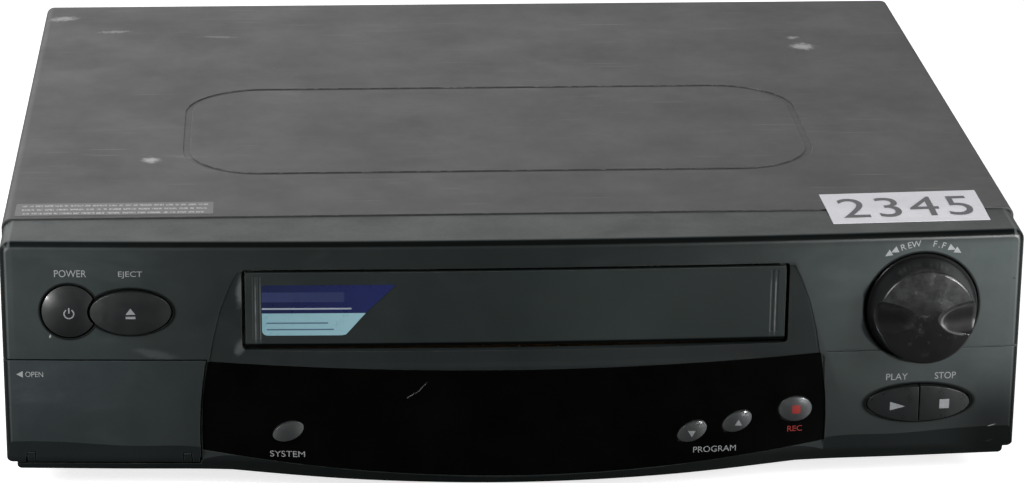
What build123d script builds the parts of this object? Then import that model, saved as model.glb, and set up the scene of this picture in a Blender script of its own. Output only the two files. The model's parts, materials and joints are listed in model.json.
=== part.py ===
from build123d import *
import math
import os

# Front-loading cassette recorder: bowed moulded front, pressed steel cover, tape deck inside.
# All lengths in millimetres. Working frame: +X right, +Y towards the back, +Z up,
# Y = 0 at the outer ends of the front; the export shifts it so that the origin is
# at the bottom centre of the whole machine.

os.makedirs("parts", exist_ok=True)

# ---------------------------------------------------------------- driving sizes
WIDTH = 360.0            # overall width
TOP_Z = 93.0             # height of the cover above the table
FRONT_Y = -14.4          # foremost point, the face of the shuttle dial
REAR_Y = 308.0           # rearmost point, the aerial sockets
Y_SHIFT = -(FRONT_Y + REAR_Y) / 2.0
HALF = WIDTH / 2.0 - 0.6  # half width of the front, a little inside the cover
BOW = 5.5                # how far the middle of the front stands forward of its ends
LIP_Z = 7.5              # underside of the front at its ends
STEP_X, STEP_Z = 175.8, 10.15                    # stepped lower corners of the front
BAND_Z = 92.6            # top of the front
SEAM_Y = 23.6            # back edge of the front moulding
WALL = 3.0               # thickness of the front wall
COVER_Y0, COVER_Y1 = 24.0, 300.0
COVER_X = WIDTH / 2.0    # half width of the cover
SHEET = 0.9              # cover sheet
FLOOR_Z = 8.5            # underside of the chassis tray
DOOR_HX, DOOR_Z0, DOOR_Z1 = 95.9, 53.0, 82.8      # cassette opening in the front
DOOR_GAP = 1.25
DOOR_AXIS = (-0.4, 83.0)                          # y, z of the door's hinge line
FLAP_Z1 = 49.0           # top of the socket flap, which fills the lower left of the front
FLAP_IN, FLAP_AX_Z = 2.5, 12.3                    # hinge line: depth behind the front and height
SEAM_Z = 49.2
DIAL_X, DIAL_Z, DIAL_R = 143.4, 64.9, 20.5
DIAL_TIP = -14.4         # how far forward the dial stands
POWER_X, POWER_Z, POWER_R = -155.7, 67.4, 10.1
EJECT_X, EJECT_Z, EJECT_RX, EJECT_RZ = -134.4, 67.25, 14.7, 8.5
PLAY_X, PLAY_Z, PLAY_RX, PLAY_RZ = 143.8, 28.9, 18.9, 7.2
BOARD_Y = 8.4            # front face of the control board
PRESS = 1.2              # travel of every push button
DECK_Z = 33.0            # underside of the deck plate
DECK_T = 1.2
TRAY_IN = 64.0           # how far the cassette tray travels inwards
TRAY_DOWN = 17.0         # how far it then comes down
REEL_X, REEL_Y = 46.0, 66.0
DRUM_Y, DRUM_R = 168.0, 31.0
GUIDE_A = (56.0, 114.0)  # loading guides, rest position
GUIDE_B = (42.0, 172.0)  # and threaded position
CAPSTAN = (68.0, 138.0)
PINCH_PIVOT = (82.0, 160.0)
PINCH_REST = (86.1, 137.7)
TENSION_PIVOT = (-80.0, 134.0)
MODULE = 1.0
PINION_T, CAM_T = 12, 60
PINION = (-80.0, 197.0)
CAM = (-80.0 + MODULE * (PINION_T + CAM_T) / 2.0 + 0.15, 197.0)


# ---------------------------------------------------------------- helpers
def box(x0, x1, y0, y1, z0, z1):
    return Pos((x0 + x1) / 2, (y0 + y1) / 2, (z0 + z1) / 2) * Box(abs(x1 - x0), abs(y1 - y0), abs(z1 - z0))


def cyl_z(x, y, z0, z1, r):
    return Pos(x, y, (z0 + z1) / 2) * Cylinder(r, z1 - z0)


def cyl_y(x, z, y0, y1, r):
    return Pos(x, (y0 + y1) / 2, z) * Rot(90, 0, 0) * Cylinder(r, y1 - y0)


def cyl_x(y, z, x0, x1, r):
    return Pos((x0 + x1) / 2, y, z) * Rot(0, 90, 0) * Cylinder(r, x1 - x0)


def line(a, b):
    return Edge.make_line(Vector(*a), Vector(*b))


def arc(a, b, c):
    return Edge.make_three_point_arc(Vector(*a), Vector(*b), Vector(*c))


def face(edges):
    return Face(Wire(edges))


def prism_y(points, y0, y1):
    """Polygon given as x, z pairs, run along Y."""
    pts = [(x, y0, z) for x, z in points]
    edges = [line(pts[i], pts[(i + 1) % len(pts)]) for i in range(len(pts))]
    return Solid.extrude(face(edges), Vector(0, y1 - y0, 0))


def prism_z(points, z0, z1):
    pts = [(x, y, z0) for x, y in points]
    edges = [line(pts[i], pts[(i + 1) % len(pts)]) for i in range(len(pts))]
    return Solid.extrude(face(edges), Vector(0, 0, z1 - z0))


def ellipse_y(x, z, rx, rz, y0, y1, tilt=0.0):
    """Elliptical bar along Y, turned by tilt degrees in the front view."""
    if abs(rx - rz) < 1e-6:
        return cyl_y(x, z, y0, y1, rx)
    sk = Plane(origin=(x, y0, z), x_dir=(math.cos(math.radians(tilt)), 0, math.sin(math.radians(tilt))), z_dir=(0, -1, 0)) * Ellipse(rx, rz)
    return extrude(sk, amount=y1 - y0, dir=(0, 1, 0))


def round_edges(solid, edges, radius):
    """Rounds edges, with a smaller radius where the full one doesn't fit."""
    for r in (radius, radius * 0.6, radius * 0.3):
        try:
            out = fillet(edges, r)
            if out.is_valid and len(out.solids()) == len(solid.solids()):
                return out
        except Exception:
            pass
    return solid


def bow(x):
    return -BOW * (1.0 - (x / HALF) ** 2)


def shift(s, dy=0.0, dx=0.0, dz=0.0):
    return Pos(dx, dy, dz) * s


def put(name, shape, colour=None):
    solids = shape.solids() if hasattr(shape, "solids") else [shape]
    moved = [Pos(0, Y_SHIFT, 0) * s for s in solids]
    out = moved[0] if len(moved) == 1 else Compound(children=[Solid(m.wrapped) if not isinstance(m, Solid) else m for m in moved])
    out.label = name
    export_step(out, "parts/" + name + ".step")


def union(items):
    out = items[0]
    for i in items[1:]:
        out = out + i
    return out


# ---------------------------------------------------------------- outer form of the front
# Side parts: a bowed slab. The middle: a lofted zone that widens downwards and stands
# further forward towards the bottom.
def slab(y_back, z0=LIP_Z, z1=BAND_Z):
    f = face([arc((-HALF, 0, z0), (0, -BOW, z0), (HALF, 0, z0)),
              line((HALF, 0, z0), (HALF, y_back, z0)),
              line((HALF, y_back, z0), (-HALF, y_back, z0)),
              line((-HALF, y_back, z0), (-HALF, 0, z0))])
    return Solid.extrude(f, Vector(0, 0, z1 - z0))


ZONE = [(81.8, 97.6, bow(97.6) + 0.2, -5.25),
        (76.4, 100.4, bow(100.4) + 0.3, -5.6),
        (68.4, 103.5, bow(103.5) + 0.4, -6.15),
        (57.7, 106.1, bow(106.1) + 0.5, -6.9),
        (48.8, 107.7, bow(107.7) + 0.6, -8.1),
        (47.0, 109.5, bow(109.5) + 0.9, -8.5),
        (2.0, 110.6, bow(110.6) + 1.0, -10.5)]


def zone(y_back):
    wires = []
    for z, a, ya, yc in ZONE:
        wires.append(Wire([arc((-a, ya, z), (0, yc, z), (a, ya, z)), line((a, ya, z), (a, y_back, z)),
                           line((a, y_back, z), (-a, y_back, z)), line((-a, y_back, z), (-a, ya, z))]))
    return Solid.make_loft(wires, ruled=True)


def zone_room(y_back):
    wires = []
    for z, a, ya, yc in ZONE:
        wires.append(Wire([line((-a, -25, z), (a, -25, z)), line((a, -25, z), (a, y_back, z)),
                           line((a, y_back, z), (-a, y_back, z)), line((-a, y_back, z), (-a, -25, z))]))
    return Solid.make_loft(wires, ruled=True)


def smile(y0, y1):
    """Everything under the lower lip: straight at the ends, dipping in the middle."""
    e = [line((-HALF - 5, y0, LIP_Z), (-100, y0, LIP_Z)), arc((-100, y0, LIP_Z), (0, y0, 3.9), (100, y0, LIP_Z)),
         line((100, y0, LIP_Z), (HALF + 5, y0, LIP_Z)), line((HALF + 5, y0, LIP_Z), (HALF + 5, y0, -12)),
         line((HALF + 5, y0, -12), (-HALF - 5, y0, -12)), line((-HALF - 5, y0, -12), (-HALF - 5, y0, LIP_Z))]
    return Solid.extrude(face(e), Vector(0, y1 - y0, 0))


def outer(y_back, rounded):
    s = slab(y_back)
    if rounded:
        top_side = s.edges().filter_by(Axis.Y).filter_by(lambda e: e.center().Z > BAND_Z - 1)
        s = fillet(top_side, 4.0)
        rim = s.edges().filter_by(lambda e: e.center().Y < y_back - 2 and e.bounding_box().min.Y < 1.0 and e.bounding_box().max.Y < 2.0
                                  and (e.center().Z > LIP_Z + 2))
        s = round_edges(s, rim, 2.6)
    body = s - zone_room(y_back + 30)
    mid = zone(y_back) - smile(-30, y_back + 1)
    if y_back > 12:
        mid = mid - box(-120, 120, 12, y_back + 5, 0, LIP_Z)
    return body + mid


FORM = outer(SEAM_Y, True)
FORM_DEEP = outer(40.0, False)
INNER = shift(FORM_DEEP, WALL)

# ---------------------------------------------------------------- outline of the dark window
WIN_E = dict(top_l=(-108.0, 48.6), top_m=(0.0, 45.9), top_r=(108.0, 48.6), side_r=(110.2, 32.0), low_r=(110.4, 15.2), low_m=(0.0, 6.6),
             low_l=(-110.4, 15.2), side_l=(-110.2, 32.0))


def window_prism(grow, y0, y1, top=0.0, low=0.0):
    g = grow
    p = WIN_E
    def q(k, dx, dz):
        return (p[k][0] + dx, y0, p[k][1] + dz)
    e = [arc(q("top_l", -g, g + top), q("top_m", 0, g + top), q("top_r", g, g + top)),
         arc(q("top_r", g, g + top), q("side_r", g, 0), q("low_r", g, -g - low)),
         arc(q("low_r", g, -g - low), q("low_m", 0, -g - low), q("low_l", -g, -g - low)),
         arc(q("low_l", -g, -g - low), q("side_l", -g, 0), q("top_l", -g, g + top))]
    return Solid.extrude(face(e), Vector(0, y1 - y0, 0))


# ---------------------------------------------------------------- chin below the crease
def chin():
    k = 5.0
    pts = [(-184, 19.6), (-158, 12.2), (-132, 4.4), (-110, -0.8), (-92, -10.5), (-60, -30.5), (-32, -41.0), (0, -45.6),
           (32, -41.0), (60, -30.5), (92, -10.5), (110, -0.8), (132, 4.4), (158, 12.2), (184, 19.6)]
    y0 = -16.0
    up = (0 - y0) * k
    top = Edge.make_spline([Vector(x, y0, z + up) for x, z in pts])
    e = [top, line((184, y0, 19.6 + up), (184, y0, -60 + up)), line((184, y0, -60 + up), (-184, y0, -60 + up)),
         line((-184, y0, -60 + up), (-184, y0, 19.6 + up))]
    return Solid.extrude(face(e), Vector(0, 30, -30 * k))


CHIN = chin() & box(-185, 185, -20, 6, -5, 21)

# ---------------------------------------------------------------- front fascia
fascia = FORM - CHIN
# stepped lower corners
for s in (-1, 1):
    step = prism_y([(s * STEP_X, -5), (s * STEP_X, STEP_Z), (s * 190, STEP_Z), (s * 190, -5)], -25, 60)
    fascia = fascia - step
    fascia = fascia - (box(*sorted((s * (HALF - 2.2), s * 184)), -25, 60, 6, STEP_Z + 2.2) - cyl_y(s * (HALF - 2.2), STEP_Z + 2.2, -26, 61, 2.2))
    fascia = fascia - (box(*sorted((s * (STEP_X - 1.6), s * 184)), -25, 60, 4, LIP_Z + 1.6) - cyl_y(s * (STEP_X - 1.6), LIP_Z + 1.6, -26, 61, 1.6))
skin_form = fascia
# hollow back
room = INNER & (box(-170.5, 170.5, -20, 40, 11.0, 90.2) + box(-177.2, 177.2, -20, 40, 11.9, 90.2))
room = room - box(-180, 180, 18, 40, 88.5, 92)
fascia = fascia - room
fascia = fascia - (shift(FORM_DEEP, 3.6) & box(-109, 109, -20, 40, 0, LIP_Z))
# cassette opening
mouth = box(-DOOR_HX, DOOR_HX, -20, 6, DOOR_Z0, DOOR_Z1)
mouth = fillet(mouth.edges().filter_by(Axis.Y), 1.6)
fascia = fascia - mouth
# window, flap, dial and button openings
fascia = fascia - (window_prism(0.0, -20, 8) - INNER)
FA = Vector(-177.0, bow(-177.0) + FLAP_IN, FLAP_AX_Z)
FB = Vector(-112.0, bow(-112.0) + FLAP_IN, FLAP_AX_Z)
FDIR = (FB - FA).normalized()


def flap_bar(xa, xb, r):
    """Round bar on the flap's hinge line between two x values."""
    a = FA + FDIR * ((xa - FA.X) / FDIR.X)
    return Solid.make_cylinder(r, (xb - xa) / FDIR.X, Plane(origin=a, z_dir=FDIR))


def flap_outline(grow, low, y0, y1):
    """Front view of the flap: the lower left of the front up to the window's edge."""
    t = (-108.6 + grow, y0, FLAP_Z1 + grow)
    m = (-110.85 + grow, y0, 32.0)
    b = (-111.05 + grow, y0, 14.6)
    e = [arc(t, m, b), line(b, (b[0], y0, low)), line((b[0], y0, low), (-183, y0, low)),
         line((-183, y0, low), (-183, y0, t[2])), line((-183, y0, t[2]), t)]
    return Solid.extrude(face(e), Vector(0, y1 - y0, 0))


fascia = fascia - (box(-176.6, -113.0, -20, 8, 11.0, FLAP_Z1 + 0.45) - INNER)
fascia = fascia - (flap_outline(0.6, 11.0, -20, 8) - shift(slab(45.0, LIP_Z - 1, BAND_Z + 1), 2.6))
fascia = fascia - box(-183, -176.6, -10, 3.6, 9.5, FLAP_Z1 + 0.6) - box(-183, -172.4, -10, 5.6, 9.5, 14.6)
fascia = fascia - flap_bar(-173.0, -110.9, 2.75)
fascia = fascia - cyl_y(DIAL_X, DIAL_Z, -20, 6, DIAL_R)
fascia = fascia - ellipse_y(EJECT_X, EJECT_Z, EJECT_RX, EJECT_RZ, -20, 6)
fascia = fascia - cyl_y(POWER_X, POWER_Z, -20, 6, POWER_R)
fascia = fascia - ellipse_y(PLAY_X, PLAY_Z, PLAY_RX, PLAY_RZ, -20, 6)
# shallow seam groove on the right
groove = box(109.6, 182, -20, 6, SEAM_Z - 0.3, SEAM_Z + 0.3) - shift(FORM_DEEP, 0.7)
fascia = fascia - groove
# lip that reaches under the cover and over the tray
for s in (-1, 1):
    fascia = fascia + box(min(s * 177.0, s * 178.4), max(s * 177.0, s * 178.4), SEAM_Y - 3, 31, 20, 87)
fascia = fascia + box(-172, 172, SEAM_Y - 3, 31, 90.4, 91.8) + box(-170, 170, SEAM_Y - 3, 31, 9.5, 11.0)
# hinge bosses for the cassette door
for s in (-1, 1):
    fascia = fascia + box(*sorted((s * 96.2, s * 98.6)), -2.6, 2.6, 79.6, 86.4)
    fascia = fascia - box(*sorted((s * 91.9, s * 96.2)), -2.35, 6.0, 80.6, 85.3)
    fascia = fascia - box(*sorted((s * 98.6, s * 103.2)), -2.55, 6.0, 80.6, 85.6)
    fascia = fascia - cyl_x(DOOR_AXIS[0], DOOR_AXIS[1], *sorted((s * 95.0, s * 99.0)), 1.06)
# wall beside the window and hinge bosses for the socket flap
fascia = fascia + box(-112.9, -110.8, -0.7, 8.0, 15.4, FLAP_Z1 + 1.5) + box(-112.9, -110.8, 2.1, 8.0, 10.0, 15.5)
for xa, xb in ((-171.9, -169.4), (-116.9, -114.4)):
    ya = bow((xa + xb) / 2) + FLAP_IN
    fascia = fascia + box(xa, xb, ya + 0.5, ya + 5.0, 8.8, 15.4) + (flap_bar(xa, xb, 2.3) & skin_form)
fascia = fascia - flap_bar(-172.4, -113.9, 1.06)
# screw bosses that carry the control boards
for x, z in ((118, 14.5), (170, 14.5), (170, 84), (118, 84), (-172, 84), (-114, 84), (-172, 54.5), (-114, 54.5)):
    fascia = fascia + cyl_y(x, z, bow(x) + 1.2, BOARD_Y, 2.4)
for x in (-98.0, -30.0, 40.0):
    fascia = fascia + box(x - 4, x + 4, 5.2, BOARD_Y, 10.5, 17.0)
fascia = max(fascia.solids(), key=lambda q: q.volume)
put("front_fascia", fascia)

# ---------------------------------------------------------------- dark window
shell = zone(12) - smile(-30, 13)
shell = shell - shift(FORM_DEEP, WALL)
window = shell & window_prism(-0.22, -20, 8)
flange = (shift(zone(40), WALL) - shift(zone(45), WALL + 1.2)) & box(-106, 106, -20, 12, 11.3, 50.6) & window_prism(0.0, -20, 12, top=1.9, low=0.0)
window = window + flange
# ---------------------------------------------------------------- buttons on the window
# name: centre x, z, half axes, tilt, surface y there
SMALL = {"rec_button": (99.4, 27.9, 6.0, 4.6, 4.0, -3.65),
         "program_up_button": (78.5, 24.4, 5.6, 3.35, 28.0, -5.95),
         "program_down_button": (62.4, 21.4, 5.6, 3.35, 28.0, -7.3),
         "system_button": (-80.2, 23.2, 5.7, 3.3, 22.0, -5.75)}
SW_FRONT = 4.6           # front of the switch plungers
zone_in = shift(zone(40), WALL)
for name, (x, z, rx, rz, tilt, ys) in SMALL.items():
    window = window - ellipse_y(x, z, rx + 0.3, rz + 0.3, -20, 8, tilt)
    window = window - (ellipse_y(x, z, rx + 1.5, rz + 1.5, -12, 12, tilt) & zone_in)
window = max(window.solids(), key=lambda q: q.volume)
put("display_window", window)


def dome(x, z, rx, y_tip, drop):
    """Ball whose nearest point is at y_tip and which falls back by drop at rx."""
    r = (rx * rx + drop * drop) / (2 * drop)
    return Pos(x, y_tip + r, z) * Sphere(r)


for name, (x, z, rx, rz, tilt, ys) in SMALL.items():
    cap = ellipse_y(x, z, rx, rz, ys - 1.5, ys + WALL + 0.3, tilt) & dome(x, z, rx, ys - 1.5, 1.15)
    rim = ellipse_y(x, z, rx + 1.0, rz + 1.0, ys + WALL + 1.75, ys + WALL + 2.6, tilt)
    neck = ellipse_y(x, z, rx - 0.2, rz - 0.2, ys + WALL + 0.2, ys + WALL + 2.0, tilt)
    stem = cyl_y(x, z, ys + WALL + 2.0, SW_FRONT - PRESS - 0.15, 1.5)
    b = cap + neck + rim + stem
    put(name, max(b.solids(), key=lambda q: q.volume))

# ---------------------------------------------------------------- larger buttons
g = 0.6
pw_cut = ellipse_y(EJECT_X, EJECT_Z, EJECT_RX + 0.4, EJECT_RZ + 0.4, -20, 20)
pw = cyl_y(POWER_X, POWER_Z, -3.4, 2.6, POWER_R - g) & dome(POWER_X, POWER_Z, POWER_R - g, -3.3, 1.9)
pw = pw - pw_cut
pw = pw + (cyl_y(POWER_X, POWER_Z, 2.55, 3.2, POWER_R + 1.2) & box(POWER_X - 13, POWER_X + 2, 0, 5, 56, 79)) + cyl_y(POWER_X - 1.5, POWER_Z, 1.5, SW_FRONT - PRESS - 0.15, 1.8)
put("power_button", max(pw.solids(), key=lambda q: q.volume))

ej = ellipse_y(EJECT_X, EJECT_Z, EJECT_RX - g, EJECT_RZ - g, -5.0, 1.9) & dome(EJECT_X, EJECT_Z, EJECT_RX - g, -4.4, 1.9)
ej = ej + (ellipse_y(EJECT_X, EJECT_Z, EJECT_RX + 1.1, EJECT_RZ + 1.1, 1.2, 1.9) & box(EJECT_X - 3, EJECT_X + 17, 0, 5, 56, 79)) + cyl_y(EJECT_X, EJECT_Z, 1.5, SW_FRONT - PRESS - 0.15, 1.8)
put("eject_button", max(ej.solids(), key=lambda q: q.volume))

for name, s in (("play_button", -1), ("stop_button", 1)):
    half = box(PLAY_X - 30, PLAY_X - 0.3, -20, 20, 15, 45) if s < 0 else box(PLAY_X + 0.3, PLAY_X + 30, -20, 20, 15, 45)
    cx = PLAY_X + s * 8.5
    tip = -4.3 if s < 0 else -3.8
    b = ellipse_y(PLAY_X, PLAY_Z, PLAY_RX - g, PLAY_RZ - g, -6.0, 2.6) & half & dome(PLAY_X + s * 2.0, PLAY_Z, PLAY_RX - 1.5, tip, 2.0)
    b = b + (ellipse_y(PLAY_X, PLAY_Z, PLAY_RX + 0.9, PLAY_RZ + 0.9, 2.45, 3.2) & half) + cyl_y(cx, PLAY_Z, 2.0, SW_FRONT - PRESS - 0.15, 1.8)
    put(name, max(b.solids(), key=lambda q: q.volume))

# ---------------------------------------------------------------- shuttle dial
T = DIAL_TIP
dial_face = face([line((0, 4.0, 0), (0, T, 0)),
                  arc((0, T, 0), (8.4, T + 0.28, 0), (16.2, T + 1.1, 0)),
                  arc((16.2, T + 1.1, 0), (17.0, T + 1.4, 0), (17.35, T + 2.1, 0)),
                  line((17.35, T + 2.1, 0), (19.3, -2.6, 0)), line((19.3, -2.6, 0), (19.9, -1.9, 0)), line((19.9, -1.9, 0), (19.9, 0.6, 0)),
                  line((19.9, 0.6, 0), (17.6, 0.6, 0)), line((17.6, 0.6, 0), (17.6, -0.4, 0)), line((17.6, -0.4, 0), (5.0, -0.4, 0)),
                  line((5.0, -0.4, 0), (5.0, 4.0, 0)), line((5.0, 4.0, 0), (0, 4.0, 0))])
dial = Solid.revolve(dial_face, 360, Axis((0, 0, 0), (0, 1, 0)))
for s in (-1, 1):
    # finger scoop: a round bar that dips into the face from near the middle out to the rim
    ang = math.radians(22.0)
    r = 7.6
    d = Vector(s * math.cos(ang), math.sin(ang), 0)
    n = Vector(s * -math.sin(ang), math.cos(ang), 0)
    p0 = Vector(s * 3.6, DIAL_TIP, 0) - n * r
    bar = Solid.make_cylinder(r, 40, Plane(origin=p0 - d * 12, z_dir=d))
    dial = dial - bar
dial = Pos(DIAL_X, 0, DIAL_Z) * dial
dial = dial - (cyl_y(DIAL_X, DIAL_Z, 0.0, 4.5, 2.99) - box(DIAL_X + 2.2, DIAL_X + 4, -1, 5, DIAL_Z - 4, DIAL_Z + 4))
dial = dial + (cyl_y(DIAL_X, DIAL_Z, -0.5, 8.0, 2.99) - box(DIAL_X + 2.2, DIAL_X + 4, -1, 9, DIAL_Z - 4, DIAL_Z + 4))
put("shuttle_dial", max(dial.solids(), key=lambda q: q.volume))
enc = box(DIAL_X - 7, DIAL_X + 7, 4.6, BOARD_Y, DIAL_Z - 7, DIAL_Z + 7) - cyl_y(DIAL_X, DIAL_Z, 4, 9, 3.05)
enc = fillet(enc.edges().filter_by(Axis.Y).filter_by(lambda e: e.length > 3 and abs(e.center().X - DIAL_X) > 6.5), 1.0)
put("shuttle_encoder", enc)

# ---------------------------------------------------------------- cassette door
d0, d1 = DOOR_Z0 + DOOR_GAP, DOOR_Z1 - DOOR_GAP
hx = DOOR_HX - DOOR_GAP
REC = 0.35               # the door lies this far behind the front's own surface
door = shift(slab(40.0, d0, d1), REC) - shift(slab(45.0, d0 - 1, d1 + 1), REC + 2.2)
door = door & fillet(box(-hx, hx, -20, 20, d0, d1).edges().filter_by(Axis.Y), 1.0)
for s in (-1, 1):
    # two shallow upright flutes near each end
    for x in (s * 91.6, s * 89.9):
        door = door - cyl_z(x, bow(x) + REC - 0.55, d0 + 3.0, d1 - 1.4, 0.85)
    arm = box(*sorted((s * 92.4, s * hx)), bow(94) + REC + 1.0, 1.0, 76.5, d1) \
        + cyl_x(DOOR_AXIS[0], DOOR_AXIS[1], *sorted((s * 92.4, s * hx)), 1.55) \
        + box(*sorted((s * 92.4, s * hx)), -1.9, 1.0, 80.0, 83.0)
    door = door + arm + cyl_x(DOOR_AXIS[0], DOOR_AXIS[1], *sorted((s * 92.4, s * (102.6 if s < 0 else 98.4))), 1.0)
# stiffening ribs behind
door = door + (box(-90, 90, -3.4, -1.6, 56.0, 57.2)) + (box(-90, 90, -3.4, -1.6, 77.4, 78.6))
put("cassette_door", max(door.solids(), key=lambda q: q.volume))
# return spring: closely wound wire round the left hinge pin's outer end
spring = union([Pos(-102.3 + i * 0.45, DOOR_AXIS[0], DOOR_AXIS[1]) * Rot(0, 90, 0) * Torus(1.62, 0.26) for i in range(7)])
spring = spring + cyl_z(-99.6, DOOR_AXIS[0] + 1.62, DOOR_AXIS[1], 90.2, 0.26)
put("door_spring", spring)

# ---------------------------------------------------------------- socket flap
flap = (skin_form & flap_outline(0.0, FLAP_AX_Z, -20, 12)) + (skin_form & box(-183, -172.75, -20, 12, 10.0, FLAP_AX_Z + 0.1))
flap = (flap - shift(slab(45.0, LIP_Z - 1, BAND_Z + 1), 2.2)) + (flap & box(-183, -177.0, -20, 3.2, 9.0, FLAP_Z1))
flap = flap + (flap_bar(-169.0, -117.3, 2.3) & skin_form) + (flap_bar(-113.9, -111.4, 2.3) & skin_form) + (flap_bar(-176.4, -172.75, 2.3) & skin_form)
flap = flap - flap_bar(-172.3, -169.0, 2.7) - flap_bar(-117.3, -114.0, 2.7)
flap = flap + flap_bar(-172.8, -113.7, 1.0)
flap = flap + (box(-170, -118, -2.4, 0.9, 44.6, 45.8) & shift(slab(40.0), 1.5))
put("av_flap", max(flap.solids(), key=lambda q: q.volume))

# ---------------------------------------------------------------- front sockets behind the flap
panel = box(-174.5, -113.6, 10.6, 12.2, 13.0, 51.0)
JACKS = (-163.0, -145.0, -127.0)
jacks = None
for x in JACKS:
    panel = panel - cyl_y(x, 34.0, 10, 13, 4.6)
    j = (cyl_y(x, 34.0, 4.6, 22.0, 4.15) - cyl_y(x, 34.0, 4.0, 14.0, 1.6)) + (cyl_y(x, 34.0, 8.6, 10.6, 5.6) - cyl_y(x, 34.0, 8.0, 11.0, 4.0))
    j = j + box(x - 5, x + 5, 12.2, 22.0, 29.5, 38.5) - cyl_y(x, 34.0, 4.0, 14.0, 1.6)
    jacks = j if jacks is None else jacks + j
put("av_socket_panel", panel)
put("front_av_sockets", jacks)

# ---------------------------------------------------------------- control boards, switches, display
low = [(-110.5, 12.0), (175.0, 12.0), (175.0, 87.5), (112.0, 87.5), (112.0, 50.0), (-110.5, 50.0)]
board = prism_y(low, BOARD_Y, BOARD_Y + 1.6)
board = board - cyl_y(DIAL_X, DIAL_Z, 8, 11, 3.4)
left_board = box(-175.5, -112.0, BOARD_Y, BOARD_Y + 1.6, 51.6, 87.5)
put("control_boards", Compound(children=[board, left_board]))
sw_pos = [(-POWER_R * 0 + POWER_X - 1.5, POWER_Z), (EJECT_X, EJECT_Z), (PLAY_X - 8.5, PLAY_Z), (PLAY_X + 8.5, PLAY_Z)] + [(v[0], v[1]) for v in SMALL.values()]
switches = []
for x, z in sw_pos:
    switches.append(box(x - 3, x + 3, SW_FRONT + 1.0, BOARD_Y, z - 3, z + 3) + cyl_y(x, z, SW_FRONT, SW_FRONT + 1.2, 1.7))
put("tact_switches", Compound(children=[s.solids()[0] for s in switches]))
disp = box(-48, 48, -1.5, 4.6, 22.5, 42.5)
disp = fillet(disp.edges().filter_by(Axis.Z), 1.0)
disp = disp + box(-44, 44, 4.6, BOARD_Y, 24, 41)
put("display_tube", disp)

# ---------------------------------------------------------------- steel cover
def shell_u(x, z, r, y0, y1, z_low):
    s = box(-x, x, y0, y1, z_low, z)
    return fillet(s.edges().filter_by(Axis.Y).filter_by(lambda e: e.center().Z > z - 1), r)


cover = shell_u(COVER_X, TOP_Z, 3.2, COVER_Y0, COVER_Y1, 9.0) - shell_u(COVER_X - SHEET, TOP_Z - SHEET, 2.3, COVER_Y0 - 1, COVER_Y1 + 1, 8.0)
# rolled rear edge
cover = cover + box(-174, 174, 298.6, 299.5, 84.5, TOP_Z - 0.5)
# shallow pressed panel bead on the top
bead = fillet(box(-118, 118, 70, 178, TOP_Z - 0.35, TOP_Z + 1).edges().filter_by(Axis.Z), 30.0) \
    - fillet(box(-115.4, 115.4, 72.6, 175.4, TOP_Z - 1, TOP_Z + 2).edges().filter_by(Axis.Z), 27.4)
cover = cover - bead
SCREWS_SIDE = ((70.0, 26.0), (262.0, 26.0))
for s in (-1, 1):
    for y, z in SCREWS_SIDE:
        cover = cover + cyl_x(y, z, *sorted((s * 177.4, s * 179.3)), 7.0)
        cover = cover - cyl_x(y, z, *sorted((s * 178.1, s * 181)), 5.2)
        cover = cover - cyl_x(y, z, *sorted((s * 170, s * 181)), 1.9)
    # louvre slots low on the sides at the back
    for i in range(9):
        y = 196.0 + i * 7.0
        cover = cover - box(*sorted((s * 175, s * 181)), y, y + 2.6, 48.0, 72.0)
for x in (-150.0, 0.0, 150.0):
    cover = cover - cyl_y(x, 88.2, 298, 300.5, 1.9)
put("top_cover", cover)

# ---------------------------------------------------------------- base tray
tray = box(-177.4, 177.4, 31.4, 297.0, FLOOR_Z, FLOOR_Z + 1.0)
tray = tray + box(-171, 171, 24.2, 31.4, FLOOR_Z, FLOOR_Z + 1.0)
for s in (-1, 1):
    w = box(*sorted((s * 176.4, s * 177.4)), 31.6, 297.0, FLOOR_Z, 38.0)
    for y, z in SCREWS_SIDE:
        w = w - cyl_x(y, z, *sorted((s * 170, s * 181)), 1.55)
    tray = tray + w
tray = tray + box(-177.4, 177.4, 296.0, 297.0, FLOOR_Z, 15.5)
FEET = ((-150, 46), (150, 46), (-150, 262), (150, 262))
for x, y in FEET:
    tray = tray - cyl_z(x, y, 8, 10, 2.2)
for i in range(12):
    for j in range(3):
        x = -165 + j * 18.0
        y = 60 + i * 7.0
        tray = tray - box(x, x + 14, y, y + 3.0, 8, 10)
for i in range(6):
    tray = tray - box(-24 + i * 8.5, -21 + i * 8.5, 280, 293, 8, 10)
for s in (-1, 1):
    for y in (40.0, 222.0):
        tray = tray - cyl_z(s * 92.0, y, 8, 10, 1.7)
put("base_tray", tray)

feet = []
for x, y in FEET:
    f = cyl_z(x, y, 0, FLOOR_Z, 11.0)
    f = fillet(f.edges().filter_by(GeomType.CIRCLE).filter_by(lambda e: e.center().Z < 1), 1.6)
    f = f - cyl_z(x, y, -1, 3.5, 4.4) - cyl_z(x, y, 3, 9, 2.1)
    feet.append(f.solids()[0])
put("feet", Compound(children=feet))

# ---------------------------------------------------------------- screws of cover and feet
def pan_x(s, y, z):
    h = cyl_x(y, z, *sorted((s * 178.1, s * 179.5)), 3.6)
    h = fillet(h.edges().filter_by(GeomType.CIRCLE).filter_by(lambda e: abs(e.center().X) > 179), 0.7)
    h = h - box(*sorted((s * 178.9, s * 180)), y - 2.2, y + 2.2, z - 0.4, z + 0.4) - box(*sorted((s * 178.9, s * 180)), y - 0.4, y + 0.4, z - 2.2, z + 2.2)
    return h + cyl_x(y, z, *sorted((s * 172.8, s * 178.1)), 1.5)


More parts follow.
